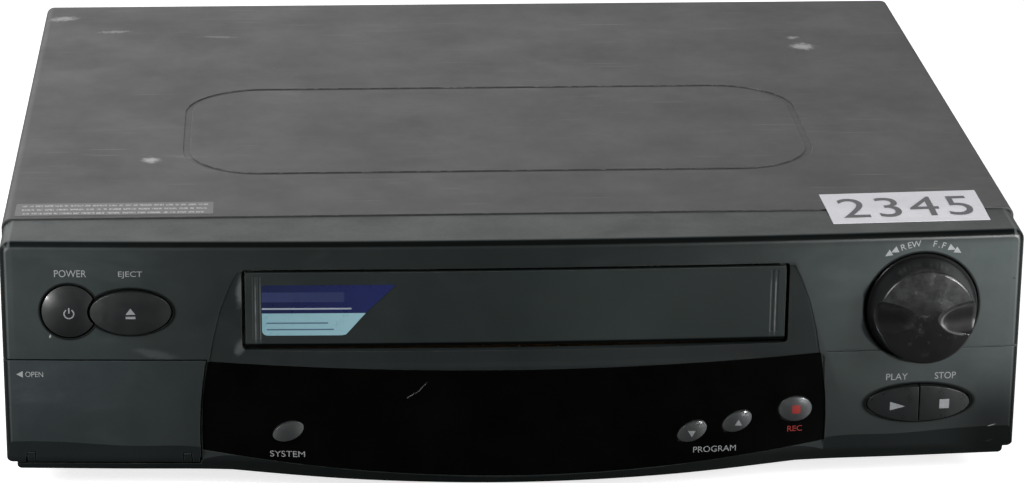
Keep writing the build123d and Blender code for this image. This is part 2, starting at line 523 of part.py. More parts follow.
def pan_y(x, z, y0):
    h = cyl_y(x, z, y0, y0 + 1.7, 3.4)
    h = fillet(h.edges().filter_by(GeomType.CIRCLE).filter_by(lambda e: e.center().Y > y0 + 1), 0.7)
    h = h - box(x - 2.1, x + 2.1, y0 + 0.9, y0 + 2, z - 0.4, z + 0.4) - box(x - 0.4, x + 0.4, y0 + 0.9, y0 + 2, z - 2.1, z + 2.1)
    return h + cyl_y(x, z, y0 - 6.0, y0, 1.45)


screws = [pan_x(s, y, z) for s in (-1, 1) for y, z in SCREWS_SIDE] + [pan_y(x, 88.2, 299.5) for x in (-150.0, 0.0, 150.0)]
put("cover_screws", Compound(children=[s.solids()[0] for s in screws]))
foot_screws = []
for x, y in FEET:
    f = cyl_z(x, y, 1.6, 3.5, 3.4) - box(x - 2.1, x + 2.1, y - 0.4, y + 0.4, 1, 2.5) - box(x - 0.4, x + 0.4, y - 2.1, y + 2.1, 1, 2.5)
    f = f + cyl_z(x, y, 3.5, 13.0, 1.9)
    foot_screws.append(f.solids()[0])
put("foot_screws", Compound(children=foot_screws))

# ---------------------------------------------------------------- rear panel and what comes through it
AERIAL = ((132.0, 40.0), (156.0, 40.0))
SCARTS = ((-20.0, 30.0), (52.0, 30.0))
AUDIO = ((96.0, 34.0), (96.0, 52.0))
rear = box(-176.2, 176.2, 297.0, 298.4, 9.6, 91.6)
for x, z in AERIAL:
    rear = rear - cyl_y(x, z, 296, 299, 6.2)
for x, z in SCARTS:
    rear = rear - box(x - 26, x + 26, 296, 299, z - 9, z + 9)
for x, z in AUDIO:
    rear = rear - cyl_y(x, z, 296, 299, 5.0)
rear = rear - box(-153.5, -126.5, 296, 299, 19.0, 35.0)
for x in (-150.0, 0.0, 150.0):
    rear = rear - cyl_y(x, 88.2, 296, 299, 1.5)
for i in range(14):
    x = -160.0 + i * 7.0
    rear = rear - box(x, x + 3.0, 296, 299, 54.0, 78.0)
put("rear_panel", rear)

can = box(118, 172, 250, 296.8, 18.2, 52.0)
can = can - (box(120, 170, 252, 294, 51.2, 53) - box(121.2, 168.8, 253.2, 292.8, 51, 54))
for x, y in ((128, 262), (144, 262), (160, 262), (136, 282)):
    can = can - cyl_z(x, y, 50.5, 53, 1.6)
put("tuner_can", can)
aer = []
for i, (x, z) in enumerate(AERIAL):
    a = cyl_y(x, z, 296.8, 308.0, 4.75) + cyl_y(x, z, 298.6, 300.0, 6.8)
    a = a - cyl_y(x, z, 299.0, 309.0, 3.6) if i else a - cyl_y(x, z, 300.0, 309.0, 4.1)
    a = a + (cyl_y(x, z, 298.0, 307.0, 1.15) if i == 0 else cyl_y(x, z, 298.0, 304.0, 2.0) - cyl_y(x, z, 299.5, 305.0, 1.2))
    aer.append(a.solids()[0])
put("aerial_sockets", Compound(children=aer))

sc = []
for x, z in SCARTS:
    b = box(x - 25.6, x + 25.6, 276.0, 299.4, z - 8.6, z + 8.6)
    hole = prism_y([(x - 23.4, z - 5.6), (x + 20.0, z - 5.6), (x + 23.4, z - 1.6), (x + 23.4, z + 5.6), (x - 23.4, z + 5.6)], 285.0, 301.0)
    b = b - hole
    b = b + box(x - 20.5, x + 20.5, 284.5, 294.0, z - 1.3, z + 1.3)
    for k in range(10):
        for sgn in (-1, 1):
            b = b - box(x - 18.6 + k * 4.0, x - 17.4 + k * 4.0, 286.0, 294.5, *sorted((z + sgn * 0.7, z + sgn * 1.6)))
    sc.append(b.solids()[0])
put("scart_sockets", Compound(children=sc))

au = None
for x, z in AUDIO:
    a = cyl_y(x, z, 286.0, 306.5, 4.15) + cyl_y(x, z, 298.6, 300.4, 6.2)
    a = a - cyl_y(x, z, 298.0, 307.5, 1.6)
    au = a if au is None else au + a
au = au + box(90.5, 101.5, 278.0, 296.6, 16.4, 58.0)
for x, z in AUDIO:
    au = au - cyl_y(x, z, 294.0, 307.5, 1.6)
put("audio_sockets", au)

inlet = box(-153.0, -127.0, 274.0, 300.2, 19.4, 34.6)
inlet = inlet - (box(-147.0, -133.0, 284.0, 301.0, 22.6, 31.4) + cyl_y(-147.0 + 1.5, 27.0, 284.0, 301.0, 4.4) + cyl_y(-133.0 - 1.5, 27.0, 284.0, 301.0, 4.4))
inlet = inlet + cyl_y(-144.3, 27.0, 283.0, 294.0, 1.2) + cyl_y(-135.7, 27.0, 283.0, 294.0, 1.2)
put("mains_inlet", inlet)

# ---------------------------------------------------------------- boards on the tray
main = box(-104.0, 172.0, 46.0, 292.0, 14.0, 15.6)
for s in (-1, 1):
    for y in (40.0, 222.0):
        main = main - cyl_z(s * 92.0, y, 13, 17, 4.6)
put("main_board", main)
stand = []
for x, y in ((-98, 60), (-98, 284), (0, 60), (30, 246), (166, 60), (166, 240), (-168, 150), (-112, 150), (-168, 288), (-112, 288)):
    s_ = cyl_z(x, y, FLOOR_Z + 1.0, 14.0, 3.0)
    stand.append(s_.solids()[0])
parts_ = []
for x, y, w, d, h in ((-60, 250, 22, 22, 2.6), (0, 262, 28, 14, 3.4), (40, 236, 18, 18, 2.4), (130, 90, 24, 24, 2.6), (140, 140, 30, 12, 3.4),
                      (125, 190, 14, 14, 2.4), (150, 220, 20, 8, 6.0), (-70, 276, 26, 10, 7.0), (20, 110, 24, 10, 3.4), (-30, 150, 20, 20, 2.6)):
    parts_.append(box(x - w / 2, x + w / 2, y - d / 2, y + d / 2, 15.6, 15.6 + h))
for x, y, r, h in ((110, 70, 4, 11), (122, 70, 4, 11), (150, 75, 5, 14), (112, 230, 4, 12), (-90, 250, 4, 12), (-40, 270, 5, 14), (80, 250, 4, 11), (100, 120, 3, 8),
                   (160, 180, 5, 13), (106, 160, 4, 10)):
    parts_.append(cyl_z(x, y, 15.6, 15.6 + h, r))
put("board_components", Compound(children=[p.solids()[0] for p in parts_]))

psu = box(-175.0, -107.0, 142.0, 292.0, 14.0, 15.6)
put("supply_board", psu)
core = box(-152, -118, 196, 230, 15.6, 47.6)
core = core - box(-146, -124, 195, 231, 23.0, 40.0)
coil = fillet(box(-149.5, -120.5, 191, 235, 24.0, 39.0).edges().filter_by(Axis.Y), 3.0) - box(-146.1, -123.9, 195.9, 230.1, 22.9, 24.0)
core = core - coil
put("transformer_core", core)
put("transformer_coil", coil)
caps = [cyl_z(-160, 176, 15.6, 46, 9.0), cyl_z(-126, 170, 15.6, 38, 6.0), cyl_z(-112.6 - 2, 182, 15.6, 34, 5.0), cyl_z(-116, 250, 15.6, 36, 5.0), cyl_z(-116, 264, 15.6, 36, 5.0)]
put("supply_capacitors", Compound(children=[c.solids()[0] for c in caps]))
sink = box(-172.0, -169.5, 205, 262, 15.6, 58.0)
for i in range(9):
    y = 206.0 + i * 6.6
    sink = sink + box(-169.6, -160.5, y, y + 1.6, 15.6, 58.0)
put("supply_heatsink", sink)

# ---------------------------------------------------------------- deck plate and side frames
deck = box(-101.0, 101.0, 34.0, 232.0, DECK_Z, DECK_Z + DECK_T)
ZT = DECK_Z + DECK_T
for s in (-1, 1):
    ax, ay = s * GUIDE_A[0], GUIDE_A[1]
    bx, by = s * GUIDE_B[0], GUIDE_B[1]
    L = math.hypot(bx - ax, by - ay)
    ang = math.degrees(math.atan2(by - ay, bx - ax))
    slot = Pos((ax + bx) / 2, (ay + by) / 2, DECK_Z + 0.6) * Rot(0, 0, ang) * Box(L + 0.4, 4.6, 4)
    deck = deck - slot - cyl_z(ax, ay, 30, 36, 2.3) - cyl_z(bx, by, 30, 36, 2.3)
    deck = deck + cyl_z(s * REEL_X, REEL_Y, DECK_Z - 5.0, ZT, 4.5) - cyl_z(s * REEL_X, REEL_Y, 20, 40, 2.05)
deck = deck + cyl_z(TENSION_PIVOT[0], TENSION_PIVOT[1], ZT - 0.1, 38.0, 3.2) + cyl_z(TENSION_PIVOT[0], TENSION_PIVOT[1], 38.0, 41.6, 1.5)
deck = deck + cyl_z(PINCH_PIVOT[0], PINCH_PIVOT[1], ZT - 0.1, 40.0, 3.6) + cyl_z(PINCH_PIVOT[0], PINCH_PIVOT[1], 40.0, 45.0, 1.8)
deck = deck + cyl_z(CAM[0], CAM[1], 24.5, DECK_Z + 0.1, 3.0) - cyl_z(PINION[0], PINION[1], 30, 40, 6.5)
deck = deck - cyl_z(CAPSTAN[0], CAPSTAN[1], 30, 40, 5.0)
deck = deck - cyl_z(0, DRUM_Y, 30, 40, 12.0)
for x, y in ((-20, 100), (20, 100), (-80, 90), (0, 215), (60, 210), (0, 50)):
    deck = deck - cyl_z(x, y, 30, 40, 5.0)
deck = max(deck.solids(), key=lambda q: q.volume)
put("deck_plate", deck)
posts = list(stand)
for s in (-1, 1):
    for y in (40.0, 222.0):
        p = cyl_z(s * 92.0, y, FLOOR_Z + 1.0, DECK_Z, 3.6) - cyl_z(s * 92.0, y, 8, 20, 1.3)
        posts.append(p.solids()[0])
put("standoffs", Compound(children=posts))
frames = []
for s in (-1, 1):
    w = box(*sorted((s * 98.7, s * 99.9)), 15.0, 134.0, ZT, 86.0)
    w = w - (box(*sorted((s * 97, s * 101)), 24.0, 58.0 + TRAY_IN, 71.93, 76.07) + cyl_x(24.0, 74.0, *sorted((s * 97, s * 101)), 2.07) + cyl_x(58.0 + TRAY_IN, 74.0, *sorted((s * 97, s * 101)), 2.07))
    for y in (44.0, 70.0, 96.0):
        w = w - box(*sorted((s * 97, s * 101)), y, y + 18, 40, 62)
    w = w - box(*sorted((s * 97, s * 101)), 10, 33.9, 30, 52)
    frames.append(w.solids()[0])
put("carriage_frames", Compound(children=frames))

# ---------------------------------------------------------------- carriage slider and cassette tray
sl = None
for s in (-1, 1):
    w = box(*sorted((s * 97.2, s * 98.2)), 18.0, 64.0, 46.0, 87.0)
    for y in (30.0, 56.0):
        w = w - (box(*sorted((s * 96, s * 99)), y - 1.67, y + 1.67, 66.0 - TRAY_DOWN, 66.0) + cyl_x(y, 66.0, *sorted((s * 96, s * 99)), 1.67) + cyl_x(y, 66.0 - TRAY_DOWN, *sorted((s * 96, s * 99)), 1.67))
    for y in (24.0, 58.0):
        w = w + cyl_x(y, 74.0, *sorted((s * 98.2, s * 100.4)), 2.0)
    sl = w if sl is None else sl + w
sl = sl + box(-98.2, 98.2, 58.0, 64.0, 86.0, 87.0)
put("carriage_slider", sl)
ct = None
for s in (-1, 1):
    w = box(*sorted((s * 95.6, s * 96.6)), 18.0, 66.0, 52.4, 82.6) + box(*sorted((s * 86.0, s * 96.6)), 18.0, 66.0, 52.4, 53.4)
    for y in (30.0, 56.0):
        w = w + cyl_x(y, 66.0, *sorted((s * 96.6, s * 98.1)), 1.6)
    ct = w if ct is None else ct + w
plate = box(-96.6, 96.6, 34.0, 66.0, 81.6, 82.6)
for x in (-60, 0, 60):
    plate = plate - fillet(box(x - 20, x + 20, 42, 58, 80, 84).edges().filter_by(Axis.Z), 4.0)
ct = ct + plate
put("cassette_tray", ct)

# ---------------------------------------------------------------- reels
def reel(x, y):
    r = cyl_z(x, y, ZT + 0.6, ZT + 1.8, 19.0) + cyl_z(x, y, ZT + 1.8, 46.0, 8.0)
    r = r + Pos(x, y, 47.5) * Cone(8.0, 5.0, 3.0)
    for k in range(3):
        r = r + Pos(x, y, 0) * Rot(0, 0, 120 * k) * box(7.0, 10.4, -1.1, 1.1, ZT + 1.8, 45.0)
    r = r - (cyl_z(x, y, 48.0, 50.0, 2.0))
    for k in range(6):
        r = r - Pos(x, y, 0) * Rot(0, 0, 60 * k + 30) * cyl_z(13.4, 0, 30, 60, 2.4)
    return r + cyl_z(x, y, DECK_Z - 6.0, ZT + 1.0, 1.98)


put("supply_reel", reel(-REEL_X, REEL_Y))
put("takeup_reel", reel(REEL_X, REEL_Y))

# ---------------------------------------------------------------- head drum
low_d = cyl_z(0, DRUM_Y, ZT, 51.0, DRUM_R) - cyl_z(0, DRUM_Y, 47.0, 52.0, 26.0)
low_d = low_d + cyl_z(0, DRUM_Y, 24.0, ZT + 0.1, 11.5) + cyl_z(0, DRUM_Y, 46.0, 50.0, 7.0)
low_d = low_d - cyl_z(0, DRUM_Y, 20.0, 60.0, 2.55)
low_d = low_d + box(-33.5, 33.5, DRUM_Y - 8, DRUM_Y + 8, ZT, ZT + 4.0) - cyl_z(0, DRUM_Y, 20.0, 60.0, 2.55)
put("lower_drum", max(low_d.solids(), key=lambda q: q.volume))
up_d = cyl_z(0, DRUM_Y, 51.6, 62.0, DRUM_R) - cyl_z(0, DRUM_Y, 51.0, 59.0, 26.0)
up_d = up_d + cyl_z(0, DRUM_Y, 62.0, 66.0, 19.0) + cyl_z(0, DRUM_Y, 26.0, 67.5, 2.5)
for k in range(4):
    up_d = up_d - Pos(0, DRUM_Y, 0) * Rot(0, 0, 90 * k + 20) * box(26.5, 33.0, -2.2, 2.2, 51.0, 54.5)
    up_d = up_d + Pos(0, DRUM_Y, 0) * Rot(0, 0, 90 * k + 20) * box(25.0, 30.95, -0.7, 0.7, 51.7, 54.6)
for k in range(6):
    up_d = up_d - Pos(0, DRUM_Y, 0) * Rot(0, 0, 60 * k) * cyl_z(13.0, 0, 63.0, 67.0, 2.0)
put("upper_drum", max(up_d.solids(), key=lambda q: q.volume))

# ---------------------------------------------------------------- heads and fixed guides
ah = fillet(box(60.0, 70.0, 149.5, 158.5, 42.0, 57.0).edges().filter_by(Axis.Z), 1.5) + box(60.0, 70.0, 150.5, 158.5, ZT, 42.1)
eh = fillet(box(-70.0, -60.0, 122.0, 130.0, 42.0, 58.0).edges().filter_by(Axis.Z), 1.5) + box(-70.0, -60.0, 122.5, 130.0, ZT, 42.1)
put("stationary_heads", Compound(children=[ah.solids()[0], eh.solids()[0]]))
gp = []
for x, y, top in ((-66.0, 140.0, 57.5), (64.0, 112.0, 52.6), (54.0, 164.0, 57.5)):
    q = cyl_z(x, y, ZT, top, 2.0) + cyl_z(x, y, 40.6, 41.8, 3.4) + cyl_z(x, y, top - 1.6, top - 0.4, 3.4)
    gp.append(q.solids()[0])
put("guide_posts", Compound(children=gp))

for name, s in (("supply_guide", -1), ("takeup_guide", 1)):
    x, y = s * GUIDE_A[0], GUIDE_A[1]
    q = cyl_z(x, y, ZT + 0.4, 39.0, 4.8) + cyl_z(x, y, 31.9, ZT + 0.5, 2.2) + cyl_z(x, y, 31.6, 32.7, 3.8)
    q = q + cyl_z(x, y, 39.0, 52.7, 1.6) + cyl_z(x, y, 41.0, 51.0, 3.0) + cyl_z(x, y, 51.0, 52.2, 3.8) + cyl_z(x, y, 39.8, 41.0, 3.8)
    put(name, q)

# ---------------------------------------------------------------- capstan, pinch roller, tension arm
bear = cyl_z(*CAPSTAN, 29.0, 42.0, 4.9) + cyl_z(*CAPSTAN, ZT, 36.0, 8.0) - cyl_z(*CAPSTAN, 20, 50, 1.55)
put("capstan_bearing", bear)
cap = cyl_z(*CAPSTAN, 20.5, 58.0, 1.5) + cyl_z(*CAPSTAN, 21.0, 26.0, 25.0) + cyl_z(*CAPSTAN, 26.0, 28.6, 6.0)
cap = cap - (cyl_z(*CAPSTAN, 23.5, 26.5, 21.0) - cyl_z(*CAPSTAN, 23.0, 27.0, 8.0))
put("capstan", cap)
motor = cyl_z(*CAPSTAN, 15.6, 16.8, 28.0) + cyl_z(*CAPSTAN, 15.6, 19.8, 5.0)
for k in range(8):
    motor = motor + Pos(CAPSTAN[0], CAPSTAN[1], 0) * Rot(0, 0, 45 * k) * cyl_z(16.0, 0, 16.7, 20.0, 4.2)
put("capstan_motor", motor)


def arm(p, q, w, z0, z1):
    L = math.hypot(q[0] - p[0], q[1] - p[1])
    a = math.degrees(math.atan2(q[1] - p[1], q[0] - p[0]))
    return Pos((p[0] + q[0]) / 2, (p[1] + q[1]) / 2, (z0 + z1) / 2) * Rot(0, 0, a) * Box(L, w, z1 - z0) + cyl_z(*p, z0, z1, w / 2) + cyl_z(*q, z0, z1, w / 2)


pa = arm(PINCH_PIVOT, PINCH_REST, 6.0, 40.3, 41.8) + cyl_z(*PINCH_PIVOT, 40.3, 44.6, 3.6) - cyl_z(*PINCH_PIVOT, 39, 46, 1.85)
pa = pa + cyl_z(*PINCH_REST, 41.8, 59.6, 1.5)
put("pinch_arm", pa)
pr = cyl_z(*PINCH_REST, 42.4, 58.4, 6.5) - cyl_z(*PINCH_REST, 42, 59, 1.55)
put("pinch_roller", pr)
T_END = (TENSION_PIVOT[0] + 6.0, TENSION_PIVOT[1] - 26.0)
ta = arm(TENSION_PIVOT, T_END, 5.0, 38.3, 39.6) + cyl_z(*TENSION_PIVOT, 38.3, 41.2, 3.0) - cyl_z(*TENSION_PIVOT, 37, 42, 1.55)
ta = ta + cyl_z(*T_END, 39.6, 52.6, 1.6)
put("tension_arm", ta)


# ---------------------------------------------------------------- loading gears
def gear(n, m, thin=0.08, tip=0.95):
    """Involute outline, teeth thinned on both flanks for running clearance."""
    rp = m * n / 2.0
    rb = rp * math.cos(math.radians(20))
    ra = rp + tip * m
    rf = rp - 1.2 * m
    inv = math.tan(math.radians(20)) - math.radians(20)
    half = math.pi / (2 * n) - thin / rp
    pts = []
    for k in range(n):
        c = 2 * math.pi * k / n
        flank = []
        for i in range(5):
            r = max(rb, rf) + (ra - max(rb, rf)) * i / 4.0
            t = math.sqrt(max(0.0, (r / rb) ** 2 - 1))
            a = half + inv - (t - math.atan(t))
            flank.append((r, a))
        left = [(rf, flank[0][1])] + flank if rf < rb else flank
        for r, a in left:
            pts.append((r * math.cos(c - a), r * math.sin(c - a)))
        for r, a in reversed(left):
            pts.append((r * math.cos(c + a), r * math.sin(c + a)))
    return pts


cam_pts = gear(CAM_T, MODULE, tip=0.7)
cam = Pos(CAM[0], CAM[1], 0) * prism_z(cam_pts, 26.4, 30.6)
cam = cam - cyl_z(*CAM, 20, 40, 3.05) + (cyl_z(*CAM, 25.0, 31.2, 6.0) - cyl_z(*CAM, 20, 40, 3.05))
for k in range(5):
    cam = cam - Pos(CAM[0], CAM[1], 0) * Rot(0, 0, 72 * k) * cyl_z(17.0, 0, 20, 40, 4.6)
put("cam_gear", cam)
pin_pts = gear(PINION_T, MODULE)
# a tooth of the wheel points at the pinion, so the pinion shows it a gap
pinion = Pos(PINION[0], PINION[1], 0) * Rot(0, 0, 180.0 / PINION_T) * prism_z(pin_pts, 26.0, 31.0)
pinion = pinion - cyl_z(*PINION, 20, 40, 1.0) + cyl_z(*PINION, 25.4, 41.5, 1.25)
put("loading_pinion", pinion)
mt = cyl_z(*PINION, 36.2, 60.0, 12.0) - cyl_z(*PINION, 34, 50, 1.31)
mt = mt + (cyl_z(*PINION, ZT, 36.3, 9.0) - cyl_z(*PINION, 30, 40, 1.31))
mt = mt + cyl_z(*PINION, 60.0, 61.5, 4.0)
put("loading_motor", mt)
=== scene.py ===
import json
import math
import random

import bmesh
import bpy
from mathutils import Matrix, Vector
from mathutils.bvhtree import BVHTree

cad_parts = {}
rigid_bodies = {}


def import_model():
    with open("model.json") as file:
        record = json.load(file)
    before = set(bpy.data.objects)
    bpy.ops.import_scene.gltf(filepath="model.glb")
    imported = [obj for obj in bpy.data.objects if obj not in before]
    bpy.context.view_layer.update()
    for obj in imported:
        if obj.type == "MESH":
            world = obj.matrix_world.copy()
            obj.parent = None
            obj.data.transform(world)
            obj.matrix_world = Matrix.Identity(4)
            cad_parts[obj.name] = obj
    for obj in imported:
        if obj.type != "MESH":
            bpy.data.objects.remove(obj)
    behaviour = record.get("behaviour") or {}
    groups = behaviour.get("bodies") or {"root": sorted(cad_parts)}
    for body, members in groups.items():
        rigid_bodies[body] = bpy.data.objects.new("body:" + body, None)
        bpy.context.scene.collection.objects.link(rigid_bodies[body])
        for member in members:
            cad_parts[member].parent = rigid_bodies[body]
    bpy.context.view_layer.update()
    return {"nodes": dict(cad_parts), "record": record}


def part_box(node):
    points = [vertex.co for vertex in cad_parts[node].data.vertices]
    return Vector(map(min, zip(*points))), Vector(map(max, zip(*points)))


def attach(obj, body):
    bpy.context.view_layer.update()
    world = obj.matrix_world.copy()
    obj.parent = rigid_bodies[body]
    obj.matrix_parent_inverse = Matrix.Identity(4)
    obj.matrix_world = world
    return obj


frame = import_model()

N = frame["nodes"]
S = bpy.context.scene
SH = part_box("top_cover")[1].y - 0.3000      # the front's end plane, y in the shared frame
MM = 0.001
rnd = random.Random(7)


def W(x, y, z):
    """Front frame in millimetres to the shared frame in metres."""
    return Vector((x * MM, y * MM + SH, z * MM))


# ------------------------------------------------------------------ material kit
class Mat:
    def __init__(self, name, base=(0.2, 0.2, 0.2), rough=0.5, metal=0.0, spec=0.5, coat=0.0, coat_rough=0.1):
        self.m = bpy.data.materials.new(name)
        self.m.use_nodes = True
        self.t = self.m.node_tree
        self.b = self.t.nodes["Principled BSDF"]
        self.b.inputs["Base Color"].default_value = (*base, 1)
        self.b.inputs["Roughness"].default_value = rough
        self.b.inputs["Metallic"].default_value = metal
        self.b.inputs["Specular IOR Level"].default_value = spec
        self.b.inputs["Coat Weight"].default_value = coat
        self.b.inputs["Coat Roughness"].default_value = coat_rough
        self.co = self.t.nodes.new("ShaderNodeTexCoord").outputs["Object"]
        self.base = base
        self.height = None

    def node(self, kind, **kw):
        n = self.t.nodes.new(kind)
        for k, v in kw.items():
            setattr(n, k, v)
        return n

    def put(self, sock, v):
        if v is None:
            return
        if isinstance(v, (int, float)):
            sock.default_value = v
        elif isinstance(v, (tuple, list, Vector)):
            sock.default_value = (*v, 1) if len(v) == 3 and len(sock.default_value) == 4 else tuple(v)
        else:
            self.t.links.new(v, sock)

    def math(self, op, a, b=None, c=None, clamp=False):
        n = self.node("ShaderNodeMath", operation=op, use_clamp=clamp)
        self.put(n.inputs[0], a)
        self.put(n.inputs[1], b)
        self.put(n.inputs[2], c)
        return n.outputs[0]

    def vmath(self, op, a, b=None, s=None):
        n = self.node("ShaderNodeVectorMath", operation=op)
        self.put(n.inputs[0], a)
        self.put(n.inputs[1], b)
        if s is not None:
            self.put(n.inputs["Scale"], s)
        return n.outputs["Value"] if op in ("LENGTH", "DOT_PRODUCT", "DISTANCE") else n.outputs["Vector"]

    def scaled(self, sx, sy, sz, loc=(0, 0, 0), rot=(0, 0, 0), vec=None):
        n = self.node("ShaderNodeMapping", vector_type="POINT")
        self.put(n.inputs["Vector"], vec if vec is not None else self.co)
        n.inputs["Location"].default_value = loc
        n.inputs["Rotation"].default_value = rot
        n.inputs["Scale"].default_value = (sx, sy, sz)
        return n.outputs[0]

    def noise(self, scale, detail=3.0, rough=0.55, vec=None, dist=0.0):
        n = self.node("ShaderNodeTexNoise")
        self.put(n.inputs["Vector"], vec if vec is not None else self.co)
        n.inputs["Scale"].default_value = scale
        n.inputs["Detail"].default_value = detail
        n.inputs["Roughness"].default_value = rough
        n.inputs["Distortion"].default_value = dist
        return n.outputs["Fac"]

    def voronoi(self, scale, feature="F1", vec=None):
        n = self.node("ShaderNodeTexVoronoi", feature=feature)
        self.put(n.inputs["Vector"], vec if vec is not None else self.co)
        n.inputs["Scale"].default_value = scale
        return n.outputs["Distance"]

    def rng(self, v, a, b, c=0.0, d=1.0, smooth=False):
        n = self.node("ShaderNodeMapRange", interpolation_type="SMOOTHSTEP" if smooth else "LINEAR")
        self.put(n.inputs["Value"], v)
        for i, x in zip(("From Min", "From Max", "To Min", "To Max"), (a, b, c, d)):
            n.inputs[i].default_value = x
        return n.outputs["Result"]

    def mix(self, a, b, f):
        n = self.node("ShaderNodeMix", data_type="RGBA")
        self.put(n.inputs["Factor"], f)
        self.put(n.inputs[6], a)
        self.put(n.inputs[7], b)
        return n.outputs[2]

    def scale_col(self, col, f):
        """Colour times a number."""
        n = self.node("ShaderNodeVectorMath", operation="SCALE")
        self.put(n.inputs[0], col)
        self.put(n.inputs["Scale"], f)
        return n.outputs["Vector"]

    def lift(self, h):
        """Adds to the height that the bump reads, in millimetres."""
        self.height = h if self.height is None else self.math("ADD", self.height, h)

    def xyz(self):
        n = self.node("ShaderNodeSeparateXYZ")
        self.t.links.new(self.co, n.inputs[0])
        return n.outputs

    def spot(self, c, r, rot=(0, 0, 0), soft=0.5, ragged=0.5, grain=600.0):
        """1 inside an ellipsoid at c with radii r, falling to 0, with a ragged edge."""
        v = self.vmath("SUBTRACT", self.co, tuple(c))
        n = self.node("ShaderNodeMapping", vector_type="TEXTURE")
        self.put(n.inputs["Vector"], v)
        n.inputs["Rotation"].default_value = rot
        n.inputs["Scale"].default_value = r
        d = self.vmath("LENGTH", n.outputs[0])
        if ragged:
            d = self.math("ADD", d, self.math("MULTIPLY", self.math("SUBTRACT", self.noise(grain, 4.0, 0.6), 0.5), ragged * 2))
        return self.rng(d, 1.0 - soft, 1.0, 1.0, 0.0, smooth=True)

    def done(self, color=None, rough=None, bump=0.4, edge=0.0, spec=None):
        if color is not None:
            self.put(self.b.inputs["Base Color"], color)
        if rough is not None:
            self.put(self.b.inputs["Roughness"], rough)
        if spec is not None:
            self.put(self.b.inputs["Specular IOR Level"], spec)
        nrm = None
        if edge:
            n = self.node("ShaderNodeBevel", samples=6)
            n.inputs["Radius"].default_value = edge
            nrm = n.outputs[0]
        if self.height is not None:
            n = self.node("ShaderNodeBump")
            n.inputs["Strength"].default_value = bump
            n.inputs["Distance"].default_value = MM
            self.t.links.new(self.height, n.inputs["Height"])
            if nrm is not None:
                self.t.links.new(nrm, n.inputs["Normal"])
            nrm = n.outputs[0]
        if nrm is not None:
            self.t.links.new(nrm, self.b.inputs["Normal"])
        return self.m

    def normal(self):
        """The surface's own normal as x, y, z."""
        g = self.node("ShaderNodeNewGeometry")
        n = self.node("ShaderNodeSeparateXYZ")
        self.t.links.new(g.outputs["Normal"], n.inputs[0])
        return n.outputs

    def around(self, cx, cz, rx, rz, a, b, tilt=0.0):
        """1 in a ring from scale a to scale b of an ellipse in x and z, fading outwards."""
        x, y, z = self.xyz()
        dx, dz = self.math("SUBTRACT", x, cx * MM), self.math("SUBTRACT", z, cz * MM)
        c, s_ = math.cos(tilt), math.sin(tilt)
        u = self.math("DIVIDE", self.math("ADD", self.math("MULTIPLY", dx, c), self.math("MULTIPLY", dz, s_)), rx * MM)
        w = self.math("DIVIDE", self.math("SUBTRACT", self.math("MULTIPLY", dz, c), self.math("MULTIPLY", dx, s_)), rz * MM)
        d = self.math("SQRT", self.math("ADD", self.math("MULTIPLY", u, u), self.math("MULTIPLY", w, w)))
        return self.rng(d, a, b, 1.0, 0.0, smooth=True)

    def edge_mask(self, radius, lo=0.02, hi=0.25):
        """1 on sharp edges."""
        n = self.node("ShaderNodeBevel", samples=6)
        n.inputs["Radius"].default_value = radius
        g = self.node("ShaderNodeNewGeometry")
        d = self.vmath("DOT_PRODUCT", n.outputs[0], g.outputs["Normal"])
        return self.rng(self.math("SUBTRACT", 1.0, d), lo, hi, 0.0, 1.0, smooth=True)


MATS = {}


def plastic(name, base, rough=0.45, spec=0.5, grain=0.006, var=0.08, edge=0.00025, coat=0.0):
    m = Mat(name, base, rough, spec=spec, coat=coat)
    big = m.noise(18.0, 4.0, 0.6)
    mid = m.noise(160.0, 5.0, 0.6)
    f = m.math("ADD", m.rng(big, 0.3, 0.7, 1 - var, 1 + var), m.rng(mid, 0.3, 0.7, -var * 0.35, var * 0.35))
    col = m.scale_col(base, f)
    r = m.math("ADD", m.rng(m.noise(45.0, 6.0, 0.65), 0.3, 0.7, rough - 0.05, rough + 0.06), m.rng(m.noise(900.0, 2.0), 0.3, 0.7, -0.02, 0.02))
    m.lift(m.math("MULTIPLY", m.noise(3200.0, 2.0, 0.5), grain))
    return m, col, r, edge


def simple(name, base, rough=0.45, **kw):
    edge = kw.get("edge", 0.00025)
    m, col, r, _ = plastic(name, base, rough, **kw)
    MATS[name] = m.done(col, r, edge=edge)
    return MATS[name]


# front moulding -----------------------------------------------------
BUTTONS = ((-155.7, 67.4, 10.1, 10.1), (-134.4, 67.25, 14.7, 8.5), (143.8, 28.9, 18.9, 7.2), (143.4, 64.9, 20.5, 20.5))


